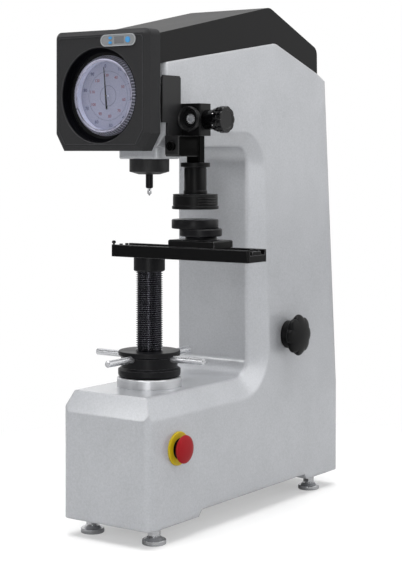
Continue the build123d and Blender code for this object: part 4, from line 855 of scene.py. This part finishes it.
    def _print(self) -> None:
        """Ticks as thin bars on a ring, the two plain circles and the two rows of numbers."""
        face, ink = in_mm(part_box("dial_plate")).front, self.ink
        bars = []
        for k in range(100):
            long = 3.0 if k % 10 == 0 else (2.0 if k % 5 == 0 else 1.2)
            width = 0.32 if k % 10 == 0 else 0.16
            bars.append(self._bar(math.radians(3.6 * k + self.turn_degrees), long, width, face))
        for radius, width in ((self.scale_radius, 0.35), (14.4, 0.6)):
            ring = [(radius, face - ink), (radius + width, face - ink),
                    (radius + width, face + ink), (radius, face + ink)]
            bars.append(turned(ring, self.centre, Axis.Y, 120, closed=True))
        new_piece("dial_scale_print", merged(bars), "bezel", Finishes.DIAL_FAINT)
        outer = [("0" if k == 0 else str(10 * k), 36.0 * k) for k in range(10)]
        inner = [(str(30 + 10 * k) if k else "130", 36.0 * k) for k in range(10)]
        self._numbers("dial_outer_numbers", outer, self.outer_numbers, 5.0, face - ink, Finishes.DIAL_BLACK)
        self._numbers("dial_inner_numbers", inner, self.inner_numbers, 4.4, face - ink, Finishes.DIAL_RED)

    def _bar(self, angle: float, length: float, width: float, face: float) -> Shape:
        """A flat box along a radius: along = (sin a, cos a), across = (cos a, -sin a).

        Args:
            angle: its angle in radians, clockwise from the top.
            length: how far it runs out from the scale's circle.
            width: its width.
            face: y of the plate's face, which lies in the middle of the ink.

        Returns:
            The points and the quads.
        """
        radii = np.array([self.scale_radius, self.scale_radius + length])
        sides = np.array([-width / 2, width / 2])
        r, w, y = np.meshgrid(radii, sides, np.array([face - self.ink, face + self.ink]), indexing="ij")
        x = self.x + r * math.sin(angle) + w * math.cos(angle)
        z = self.z + r * math.cos(angle) - w * math.sin(angle)
        points = np.stack([x, y, z], -1).reshape(-1, 3)
        faces = np.array([[0, 1, 3, 2], [4, 6, 7, 5], [0, 4, 5, 1], [2, 3, 7, 6], [0, 2, 6, 4], [1, 5, 7, 3]])
        return points, faces

    def _numbers(self, name: str, labels: Sequence[tuple[str, float]], radius: float, height: float,
                 depth: float, finish: Finish) -> None:
        """Upright numbers at angles on a circle, joined into one thin mesh.

        Args:
            name: the piece's name.
            labels: each number with its angle in degrees, clockwise from the top.
            radius: the circle's radius in mm.
            height: the digits' height in mm.
            depth: y of their front face.
            finish: the ink.
        """
        shell = bmesh.new()
        for text, degrees in labels:
            curve = bpy.data.curves.new(name + "_curve", "FONT")
            curve.body = text
            curve.size = height / MM_PER_M * FONT_SIZE_PER_HEIGHT
            curve.align_x = "CENTER"
            curve.align_y = "CENTER"
            curve.extrude = FONT_RAISE_M
            curve.offset = FONT_BOLDER_M
            curve.resolution_u = 2
            holder = bpy.data.objects.new(name + "_holder", curve)
            mesh = bpy.data.meshes.new_from_object(holder)
            angle = math.radians(degrees + self.turn_degrees)
            spot = place(np.array([[self.x + radius * math.sin(angle), depth,
                                    self.z + radius * math.cos(angle)]]))[0]
            mesh.transform(Matrix.Translation(Vector(spot)) @ Matrix.Rotation(math.pi / 2, 4, "X"))
            shell.from_mesh(mesh)
            bpy.data.objects.remove(holder)
            bpy.data.curves.remove(curve)
            bpy.data.meshes.remove(mesh)
        bmesh.ops.remove_doubles(shell, verts=shell.verts, dist=WELD_M)
        mesh = bpy.data.meshes.new(name)
        shell.to_mesh(mesh)
        shell.free()
        mesh.materials.append(finish.material())
        piece = link_object(name, mesh)
        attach(piece, "bezel")
        LOG.info("piece %s: %d faces", name, len(mesh.polygons))


@dataclass
class ControlPanel:
    """The pill-shaped membrane panel with its display and keys, and the black housing round it.

    Attributes:
        face: y of the housing's front face.
        half_width: half the bead's outer width.
        low: z of the bead's lower line.
        high: z of its upper line.
        foot: how far each lower corner is cut across and up.
        panel_x: the panel's middle.
        panel_z: its height.
        panel_half: half the panel's width.
        panel_radius: the radius of its round ends.
    """

    face: float = -12.0
    half_width: float = 78.5
    low: float = 576.0
    high: float = 732.0
    foot: tuple[float, float] = (13.0, 21.5)
    panel_x: float = 35.0
    panel_z: float = 725.0
    panel_half: float = 31.5
    panel_radius: float = 8.5

    def build(self) -> None:
        """Dresses the housing, panel, display and keys, and adds the bead and the rims."""
        dress(("dial_housing",), Finishes.MOULDED_ABS)
        dress(("control_panel",), Finishes.PANEL)
        dress(("display_window",), Finishes.DISPLAY)
        dress(("round_button", "upper_key", "lower_key"), Finishes.BLUE_KEY)
        outline = cut_rectangle(-self.half_width, self.half_width, self.low, self.high, self.foot, (4.0, 4.0))
        bead = loop_band(outline, 1.0, self.face - 0.6, self.face + 0.5)
        # the bead is greyer than the housing: a painted highlight along it
        new_piece("housing_bead", bead, "frame", Finishes.HOUSING_LINE_HIGHLIGHT)
        rim = loop_band(self._pill(), 1.1, self.face - 1.9, self.face + 0.2)
        new_piece("panel_rim", rim, "frame", Finishes.PANEL_RIM)

    def _pill(self) -> Array:
        """The panel's outline: a half circle round each end of a straight run.

        Returns:
            Its corners in x and z, counted one way round.
        """
        turn = np.linspace(-0.5 * math.pi, 0.5 * math.pi, 17)
        run = self.panel_half - self.panel_radius
        right = np.column_stack([run + self.panel_radius * np.cos(turn), self.panel_radius * np.sin(turn)])
        return np.concatenate([right, -right]) + np.array([self.panel_x, self.panel_z])


@dataclass
class ScrewDrive:
    """The elevating screw with its thread, the capstan handwheel, its rods and the boss.

    Attributes:
        y: depth of the screw's axis.
        crest: the thread's outer radius.
        root: its inner radius.
        pitch: from one crest to the next.
        low: the screw's lower end.
        high: its upper end, inside the collar.
    """

    y: float = 106.0
    crest: float = 20.0
    root: float = 17.8
    pitch: float = 3.2
    low: float = 165.0
    high: float = 400.0

    def build(self) -> None:
        """Builds the thread and dresses the drive."""
        dress(("handwheel", "screw_collar"), Finishes.BLACK_OXIDE_TURNED)
        dress(("handwheel_rods",), Finishes.BRIGHT_STEEL)
        dress(("screw_boss",), Finishes.MATT_STEEL)
        self._thread()

    def _thread(self) -> None:
        """A helix of trapezoid threads on a shaft: height = pitch (turn + share), radius from the profile."""
        steps = 48
        turns = int((self.high - self.low) / self.pitch) - 1
        share = np.array([0.0, 0.16, 0.34, 0.5, 0.66, 0.84])
        depth = np.array([0.0, 0.0, 0.75, 1.0, 1.0, 0.75]) * (self.crest - self.root)
        angle = np.arange(steps * turns + 1) * TAU / steps
        height = self.low + self.pitch * (angle[:, None] / TAU + share[None, :])
        radius = np.broadcast_to(self.crest - depth, height.shape)
        spin = np.broadcast_to(angle[:, None], height.shape)
        points = np.stack([radius * np.cos(spin), self.y + radius * np.sin(spin), height], -1)
        # each profile row is joined to the first point of the next turn, steps columns further on
        count, rows = len(share), len(angle)
        faces = grid_faces(rows, count)
        tail = np.arange(rows - 1 - steps)
        last, first = tail * count + count - 1, (tail + steps) * count
        bridge = np.stack([last, first, first + count, last + count], -1)
        core = [(0.0, self.low), (self.root, self.low), (self.root, self.high), (0.0, self.high)]
        thread = (points.reshape(-1, 3), np.concatenate([faces, bridge]))
        shaft = turned(core, (0.0, self.y, 0.0), Axis.Z, steps)
        new_piece("elevating_screw_thread", merged([thread, shaft]), "lift", Finishes.THREAD,
                  ("elevating_screw",), ROUND_DEGREES)


@dataclass
class SlideTable:
    """The rail, its stops, the carriage and the anvil.

    Attributes:
        y: depth of the rail's middle.
        stops: x of the two end stops.
        screw_offset: how far the stop screws stand from the middle.
    """

    y: float = 106.0
    stops: tuple[float, ...] = (-48.5, 188.5)
    screw_offset: float = 7.0

    def build(self) -> None:
        """Dresses the slide and the anvil, and adds the stops' screws and the end pin."""
        dress(("slide_rail", "rail_stops", "carriage"), Finishes.BLACK_OXIDE)
        dress(("anvil_socket", "anvil_seat"), Finishes.BLACK_OXIDE_TURNED)
        self._anvil()
        top = in_mm(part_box("rail_stops")).high
        heads = [cap_head((x, self.y + side * self.screw_offset, top - 0.4), Axis.Z, 2.6, 3.0)
                 for x in self.stops for side in (-1.0, 1.0)]
        new_piece("rail_stop_screws", merged(heads), "lift", Finishes.BLACK_OXIDE_TURNED)
        ridge = in_mm(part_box("slide_rail")).high
        pin = [(0.0, 6.2), (1.6, 6.0), (2.8, 5.0), (3.1, 3.6), (2.8, 2.2), (1.5, 1.3), (1.3, -1.0),
               (0.0, -1.0)]
        foot = (self.stops[0] - 1.6, self.y - 22.6, ridge)
        new_piece("rail_end_pin", turned(pin, foot, Axis.Z, 32), "lift", Finishes.BLACK_OXIDE_TURNED)

    def _anvil(self) -> None:
        """The anvil: a blackened disc with rounded corners, and its ground face with fine rings."""
        plate = in_mm(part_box("anvil_plate"))
        radius = (plate.right - plate.left) / 2.0
        centre = ((plate.left + plate.right) / 2.0, self.y, 0.0)
        bottom, top = plate.low, plate.high
        side = [(0.0, bottom), (radius - 1.2, bottom), (radius - 0.3, bottom + 0.4), (radius, bottom + 1.2),
                (radius, top - 1.6), (radius - 0.4, top - 0.7), (radius - 1.4, top - 0.1),
                (radius - 1.8, top - 0.1), (0.0, top - 0.1)]
        new_piece("anvil_plate_turned", turned(side, centre, Axis.Z), "anvil", Finishes.BLACK_OXIDE_TURNED,
                  ("anvil_plate",))
        face = [(0.0, top - 0.5), (radius - 1.7, top - 0.5), (radius - 1.7, top - 0.05), (radius - 2.0, top),
                (0.0, top)]
        new_piece("anvil_face", turned(face, centre, Axis.Z), "anvil", Finishes.WORN_ANVIL)


@dataclass
class SpindleHead:
    """The guard, the spindle and the indenter."""

    def build(self) -> None:
        """Dresses the guard, spindle and indenter."""
        dress(("spindle_guard",), Finishes.GUARD)
        dress(("spindle",), Finishes.BLACK_OXIDE_TURNED)
        dress(("indenter",), Finishes.BRIGHT_STEEL)


@dataclass
class Microscope:
    """The measuring microscope: bracket, block, eyepiece, drum, arm, tube and objective ring.

    Attributes:
        drum_y: depth of the drum's axis.
        drum_z: its height.
        drum_radius: the radius over the drum's lobes.
        drum_left: where the drum starts.
        drum_right: its outermost face.
        drum_lobes: how many lobes go round it.
        eyepiece_x: the eyepiece's axis.
        eyepiece_z: its height.
        tube_x: the hanging tube's axis.
        tube_y: its depth.
    """

    drum_y: float = 97.0
    drum_z: float = 612.5
    drum_radius: float = 19.5
    drum_left: float = 128.3
    drum_right: float = 148.0
    drum_lobes: int = 9
    eyepiece_x: float = 97.5
    eyepiece_z: float = 613.6
    tube_x: float = 85.0
    tube_y: float = 106.0

    @property
    def eyepiece(self) -> tuple[float, float, float]:
        """The point of the eyepiece's axis that lies over the base's front face."""
        return (self.eyepiece_x, 0.0, self.eyepiece_z)

    @property
    def tube(self) -> tuple[float, float, float]:
        """The point of the tube's axis on the floor."""
        return (self.tube_x, self.tube_y, 0.0)

    def build(self) -> None:
        """Dresses the CAD nodes that stay and builds the turned pieces and the painted shade on the clamp's
        side.
        """
        dress(("scope_bracket",), Finishes.GREY_ANODISED)
        dress(("scope_block", "eyepiece_tube"), Finishes.BLACK_ANODISED)
        dress(("scope_arm", "clamp_screw"), Finishes.DULL_BLACK)
        dress(("micrometer_neck",), Finishes.POLISHED_BLACK)
        dress(("objective",), Finishes.LENS)
        self._clamp_shade_sheet()
        self._focus_ring()
        self._lens()
        self._drum()
        self._tube()
        self._objective_ring()

    def _clamp_shade_sheet(self) -> None:
        """A deep black thin slab with broken edges on the clamp's right side: painted shade on that face."""
        face = in_mm(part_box("scope_bracket")).right
        outline = cut_rectangle(46.5, 103.2, 560.0, 588.2, (1.5, 1.5), (1.5, 1.5))
        middle = outline.mean(0)
        rows = [(0.0, face - 0.3), (1.0, face - 0.3), (1.0, face + 0.15), (0.985, face + 0.3),
                (0.0, face + 0.3)]
        points = np.stack([np.column_stack([np.full(len(outline), x), middle + share * (outline - middle)])
                           for share, x in rows])
        shape = (points.reshape(-1, 3), grid_faces(len(rows), len(outline), False, True))
        new_piece("scope_clamp_shade_sheet", shape, "frame", Finishes.DULL_BLACK)

    def _focus_ring(self) -> None:
        """A finely knurled ring with a thin bright lip and a funnel down to the eye lens."""
        count, front = 72, 68.0
        steps = count * 6
        section = [(12.6, 76.7), (12.6, 73.0), (14.6, 69.2), (16.2, 68.4), (16.6, front), (17.3, front),
                   (17.7, 68.3), (17.7, 70.2), (17.2, 70.5), (17.2, 71.0), (18.0, 71.4), (18.0, 75.9),
                   (17.5, 76.7)]
        ripple = np.zeros((len(section), steps))
        ripple[10:12] = 0.35 * teeth(count, steps)
        new_piece("focus_ring_knurled", turned(section, self.eyepiece, Axis.Y, steps, ripple, closed=True),
                  "focus_ring", Finishes.BLACK_ANODISED, ("focus_ring",))

    def _lens(self) -> None:
        """A domed eye lens: its front falls back with the square of the radius; and a bright steel ring on
        its rim, a painted glint.
        """
        bulge = np.linspace(0.0, 1.0, 8)
        dome = [(7.0 * t, 77.0 + 1.9 * t * t) for t in bulge]
        section = dome + [(7.5, 79.2), (7.5, 83.0), (0.0, 83.0)]
        new_piece("eyepiece_lens_domed", turned(section, self.eyepiece, Axis.Y, 64), "frame", Finishes.LENS,
                  ("eyepiece_lens",))
        # the bright ring paints the glint on the lens's rim
        ring = [(5.6, 76.9), (6.0, 76.5), (7.2, 76.5), (7.5, 77.0), (7.5, 79.0), (5.6, 79.0)]
        new_piece("eyepiece_lens_glint_ring", turned(ring, self.eyepiece, Axis.Y, 64, closed=True), "frame",
                  Finishes.BRIGHT_STEEL)

    def _drum(self) -> None:
        """A collar with set screws and a lobed grip: radius = edge + depth (|cos| - 1) over the lobes."""
        steps = self.drum_lobes * 32
        angle = np.arange(steps) * TAU / steps
        lobes = np.abs(np.cos(angle * self.drum_lobes / 2.0)) ** 0.6 - 1.0
        edge = self.drum_radius
        left, right = self.drum_left, self.drum_right
        section = [(3.1, left), (15.6, left), (16.6, left + 0.5), (16.6, left + 5.6), (16.0, left + 6.1),
                   (17.0, left + 6.6), (edge - 0.6, left + 7.0), (edge, left + 7.6),
                   (edge, left + 12.0), (edge - 0.9, left + 12.5), (edge - 0.9, left + 13.2),
                   (edge, left + 13.7), (edge, right - 1.0), (edge - 0.9, right), (13.5, right),
                   (12.9, right - 0.6), (0.0, right - 0.6)]
        ripple = np.zeros((len(section), steps))
        ripple[6:14] = lobes * 1.9
        centre = (0.0, self.drum_y, self.drum_z)
        new_piece("micrometer_drum_lobed", turned(section, centre, Axis.X, steps, ripple), "drum",
                  Finishes.POLISHED_BLACK, ("micrometer_drum",))
        heads = [self._drum_screw(math.radians(turn)) for turn in range(-150, 151, 60)]
        new_piece("drum_set_screws", merged(heads), "drum", Finishes.BRIGHT_STEEL)

    def _drum_screw(self, turn: float) -> Shape:
        """A tiny domed screw head on the collar, its axis along the collar's radius at this angle.

        Args:
            turn: the angle from the back, in radians.

        Returns:
            The points and the quads.
        """
        out = np.array([0.0, math.cos(turn), math.sin(turn)])
        across = np.array([0.0, -math.sin(turn), math.cos(turn)])
        angle = np.arange(12) * TAU / 12
        radius = np.array([0.0, 0.7, 1.1, 1.3])[:, None]
        rise = np.array([0.35, 0.3, 0.1, -0.6])[:, None]
        centre = np.array([self.drum_left + 3.2, self.drum_y, self.drum_z]) + 16.6 * out
        points = (centre + (radius * np.cos(angle))[..., None] * np.array([1.0, 0.0, 0.0])
                  + (radius * np.sin(angle))[..., None] * across + rise[..., None] * out)
        return points.reshape(-1, 3), grid_faces(4, 12, False, True)

    def _tube(self) -> None:
        """The hanging tube: a collar at the top, a long barrel with a fine waist and a foot ring."""
        section = [(0.0, 550.0), (21.0, 550.0), (21.7, 549.4), (21.7, 544.2), (21.2, 543.6), (16.9, 543.2),
                   (16.3, 542.6), (16.3, 541.0), (16.5, 540.4), (16.5, 509.6), (16.9, 509.0), (17.4, 508.4),
                   (17.4, 505.2), (16.9, 504.6), (16.9, 504.0), (0.0, 504.0)]
        new_piece("scope_tube_turned", turned(section, self.tube, Axis.Z), "frame", Finishes.SATIN_BLACK,
                  ("scope_tube",))

    def _objective_ring(self) -> None:
        """The lamp ring: grooved side, a lip at the foot, and three short ribs on its right side."""
        section = [(15.1, 503.6), (15.1, 482.4), (15.6, 482.0), (33.6, 482.0), (34.4, 482.6), (34.4, 485.8),
                   (34.0, 486.4), (32.6, 486.8), (32.6, 487.6), (33.0, 488.0), (33.0, 500.6), (32.6, 501.0),
                   (32.6, 501.6), (33.0, 502.0), (33.0, 503.0), (32.4, 503.7), (16.0, 503.7)]
        new_piece("objective_ring_turned", turned(section, self.tube, Axis.Z, 128, closed=True), "frame",
                  Finishes.SATIN_BLACK, ("objective_ring",))
        ribs = [self._rib(height) for height in (490.0, 494.0, 498.0)]
        new_piece("objective_ring_ribs", merged(ribs), "frame", Finishes.POLISHED_BLACK)

    def _rib(self, height: float) -> Shape:
        """A short half-round rib on the ring's side, tapering to nothing at both ends of its arc.

        Args:
            height: z of its middle line.

        Returns:
            The points and the quads.
        """
        angle = np.radians(np.linspace(-50.0, 10.0, 24))
        taper = np.sin(np.linspace(0.0, math.pi, 24)) ** 0.3
        round_way = np.linspace(-0.5, 0.5, 7) * math.pi
        radius = 32.9 + 0.9 * taper[:, None] * np.cos(round_way)
        rise = height + 1.1 * taper[:, None] * np.sin(round_way)
        points = np.stack([self.tube_x + radius * np.cos(angle)[:, None],
                           self.tube_y + radius * np.sin(angle)[:, None], rise], -1)
        return points.reshape(-1, 3), grid_faces(24, 7, False, True)


@dataclass
class Controls:
    """The emergency stop and the force selector.

    Attributes:
        stop_y: depth of the stop's axis.
        stop_z: its height.
        stop_back: where the mushroom's back starts.
        knob_y: depth of the knob's axis.
        knob_z: its height.
        knob_left: where the knob meets its hub.
        knob_right: its outermost face.
        lobes: how many lobes go round the knob.
    """

    stop_y: float = 68.0
    stop_z: float = 136.0
    stop_back: float = 88.7
    knob_y: float = 370.0
    knob_z: float = 271.0
    knob_left: float = 91.5
    knob_right: float = 109.5
    lobes: int = 8

    def build(self) -> None:
        """Dresses the ring, the neck and the hub, and builds the mushroom and the knob."""
        dress(("stop_ring",), Finishes.YELLOW)
        dress(("stop_neck", "knob_hub"), Finishes.PHENOLIC)
        self._stop()
        self._knob()

    def _stop(self) -> None:
        """The mushroom: a stem, a back that slants out to the rim, and a low dome in front."""
        button = in_mm(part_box("stop_button"))
        stem, back, face = button.left, self.stop_back, button.right
        section = [(0.0, stem), (6.0, stem), (6.0, back), (13.0, back),
                   (15.6, back + 0.5), (18.8, back + 2.2), (20.3, back + 4.0), (20.5, back + 4.9),
                   (20.2, back + 5.9), (18.6, back + 7.2), (15.0, back + 8.5), (9.0, back + 9.6), (4.0, face),
                   (0.0, face)]
        new_piece("stop_mushroom", turned(section, (0.0, self.stop_y, self.stop_z), Axis.X), "stop",
                  Finishes.RED, ("stop_button",), ROUND_DEGREES)

    def _knob(self) -> None:
        """A moulded knob whose lobes fade into its domed face: radius = edge - depth (1 - |cos|)."""
        steps = self.lobes * 40
        angle = np.arange(steps) * TAU / steps
        valley = 1.0 - np.abs(np.cos(angle * self.lobes / 2.0)) ** 0.8
        left, right = self.knob_left, self.knob_right
        section = np.array([(0.0, left, 0.0), (21.0, left, 0.0), (25.0, left + 0.8, 0.8),
                            (29.0, left + 3.0, 2.4), (31.8, left + 5.5, 3.8), (33.0, left + 7.8, 4.6),
                            (32.9, left + 9.8, 4.6), (32.0, left + 11.4, 3.9), (30.0, left + 12.9, 2.6),
                            (27.0, left + 14.1, 1.3), (23.0, left + 15.3, 0.5), (18.0, left + 16.4, 0.1),
                            (12.0, left + 17.2, 0.0), (6.0, right - 0.2, 0.0), (0.0, right, 0.0)])
        ripple = -section[:, 2:3] * valley
        centre = (0.0, self.knob_y, self.knob_z)
        new_piece("force_knob_lobed", turned(section[:, :2], centre, Axis.X, steps, ripple), "knob",
                  Finishes.PHENOLIC, ("force_knob",), ROUND_DEGREES)


@dataclass
class Feet:
    """The four levelling feet."""

    def build(self) -> None:
        """Dresses the feet."""
        dress(("foot_front_left", "foot_front_right", "foot_rear_left", "foot_rear_right"),
              Finishes.NICKEL_FEET)


# ------------------------------------------------------------------------------ studio
@dataclass(frozen=True)
class Lamp:
    """A soft rectangular lamp aimed at a point.

    Attributes:
        name: the lamp's name.
        spot: where it hangs, in metres.
        aim: what it points at.
        size: its width.
        height: its height.
        power: its power in watts.
    """

    name: str
    spot: tuple[float, float, float]
    aim: tuple[float, float, float]
    size: float
    height: float
    power: float

    def hang(self) -> None:
        """Hangs the lamp with its face towards the aim."""
        data = bpy.data.lights.new(self.name, "AREA")
        data.shape = "RECTANGLE"
        data.size = self.size
        data.size_y = self.height
        data.energy = self.power
        lamp = link_object(self.name, data)
        lamp.location = self.spot
        lamp.rotation_euler = (Vector(self.aim) - Vector(self.spot)).to_track_quat("-Z", "Y").to_euler()


@dataclass
class Studio:
    """Camera, floor, world and lamps.

    Attributes:
        eye: the camera's place in metres.
        gaze: the view direction, level.
        focal_px: focal length in image pixels.
        horizon_px: the image row that the view direction meets.
        sensor_mm: the camera's sensor, which only sets the unit of the focal length.
        fill_level: the world's light on the machine.
        floor_colour: the floor's sRGB hex colour.
        floor_glow: what is added to the floor where the camera sees it.
        floor_start: how far from the middle the floor starts to fade to white, in metres.
        floor_end: how far out it is white.
        room_level: how bright the dark side of the room looks in a reflection.
        room_start: the heading at which the room starts to brighten.
        room_end: the heading at which it is white.
        lamps: the soft boxes.
    """

    eye: tuple[float, float, float] = (1.2995, -1.913, 0.567)
    gaze: tuple[float, float, float] = (-0.5793, 0.8151, 0.0)
    focal_px: float = 1474.0
    horizon_px: float = 151.0
    sensor_mm: float = 36.0
    fill_level: float = 0.39
    floor_colour: str = "#cecece"
    floor_glow: float = 0.38
    floor_start: float = 0.33
    floor_end: float = 0.80
    room_level: float = 0.12
    room_start: float = -0.4
    room_end: float = 0.35
    lamps: tuple[Lamp, ...] = (
        Lamp("brow_softbox", (-1.8, -2.6, 1.25), (0.0, 0.0, 0.3), 0.5, 0.3, 7.5),
        Lamp("corner_strip", (1.35, -2.6, 0.6), (0.0, 0.0, 0.3), 0.4, 1.6, 20.0),
        Lamp("side_softbox", (2.7, 1.3, 1.4), (0.0, 0.1, 0.5), 1.8, 1.8, 17.0),
        Lamp("top_softbox", (0.0, -0.2, 2.6), (0.0, 0.0, 0.4), 2.6, 2.6, 96.0),
    )

    def build(self) -> None:
        """Sets up the camera, the floor, the world and the lamps."""
        bpy.context.scene.view_settings.view_transform = "Standard"
        self._camera()
        self._floor()
        self._world()
        for lamp in self.lamps:
            lamp.hang()

    def _camera(self) -> None:
        """A level camera, shifted down so that uprights stay upright."""
        data = bpy.data.cameras.new("camera")
        data.sensor_fit = "AUTO"
        data.sensor_width = self.sensor_mm
        data.lens = self.focal_px * self.sensor_mm / IMAGE_LONG_SIDE
        data.shift_y = (self.horizon_px - IMAGE_LONG_SIDE / 2) / IMAGE_LONG_SIDE
        data.clip_end = 50.0
        camera = link_object("camera", data)
        camera.location = self.eye
        camera.rotation_euler = Vector(self.gaze).to_track_quat("-Z", "Y").to_euler()
        bpy.context.scene.camera = camera

    def _floor(self) -> None:
        """A plain pale floor that keeps the machine's shadow."""
        reach = 12.0
        mesh = bpy.data.meshes.new("studio_floor")
        mesh.from_pydata([(-reach, -reach, 0), (reach, -reach, 0), (reach, reach, 0), (-reach, reach, 0)],
                         [], [(0, 1, 2, 3)])
        floor = link_object("studio_floor", mesh)
        made = bpy.data.materials.new("studio_floor_paint")
        tree = empty_tree(made)
        seen = add_node(tree, "LightPath").outputs["Is Camera Ray"]
        glow = add_node(tree, "Math", {"operation": "MULTIPLY"}, {0: seen, 1: self.floor_glow}).outputs[0]
        near = add_node(tree, "BsdfPrincipled", {}, {
            "Base Color": linear(self.floor_colour), "Roughness": 0.9, "Specular IOR Level": 0.1,
            "Emission Color": WHITE, "Emission Strength": glow})
        distance = add_node(tree, "VectorMath", {"operation": "LENGTH"},
                            {0: add_node(tree, "TexCoord").outputs["Object"]}).outputs["Value"]
        away = add_node(tree, "MapRange", {"interpolation_type": "SMOOTHSTEP"},
                        {"Value": distance, 1: self.floor_start, 2: self.floor_end}).outputs[0]
        share = add_node(tree, "Math", {"operation": "MULTIPLY"}, {0: away, 1: seen}).outputs[0]
        white = add_node(tree, "Emission", {}, {"Color": WHITE, "Strength": 1.0})
        both = add_node(tree, "MixShader", {}, {0: share, 1: near.outputs[0], 2: white.outputs[0]})
        add_node(tree, "OutputMaterial", {}, {"Surface": both.outputs[0]})
        mesh.materials.append(made)

    def _world(self) -> None:
        """A room that brightens towards its back, as seen or mirrored, and an even soft light on the rest."""
        world = bpy.data.worlds.new("studio_world")
        bpy.context.scene.world = world
        tree = empty_tree(world)
        path = add_node(tree, "LightPath")
        seen = path.outputs["Is Camera Ray"]
        for ray in ("Is Transmission Ray", "Is Glossy Ray"):
            seen = add_node(tree, "Math", {"operation": "MAXIMUM"},
                            {0: seen, 1: path.outputs[ray]}).outputs[0]
        heading = add_node(tree, "SeparateXYZ", {}, {0: add_node(tree, "TexCoord").outputs["Generated"]})
        room = add_node(tree, "MapRange", {"interpolation_type": "SMOOTHSTEP"}, {
            "Value": heading.outputs[1], 1: self.room_start, 2: self.room_end,
            3: self.room_level, 4: 1.0}).outputs[0]
        level = add_node(tree, "Mix", {"data_type": "FLOAT"},
                         {0: seen, 2: self.fill_level, 3: room}).outputs[0]
        sky = add_node(tree, "Background", {}, {"Color": WHITE, "Strength": level})
        add_node(tree, "OutputWorld", {}, {"Surface": sky.outputs[0]})


def main() -> None:
    """Builds every sub-assembly in order, then the studio."""
    logging.basicConfig(level=logging.INFO, format="%(name)s %(message)s")
    Studio().build()
    for part in (Casting(), LoadTrain(), DialGauge(), ControlPanel(), ScrewDrive(), SlideTable(),
                 SpindleHead(), Microscope(), Controls(), Feet()):
        part.build()
        LOG.info("%s built", type(part).__name__)


if __name__ == "__main__":
    main()
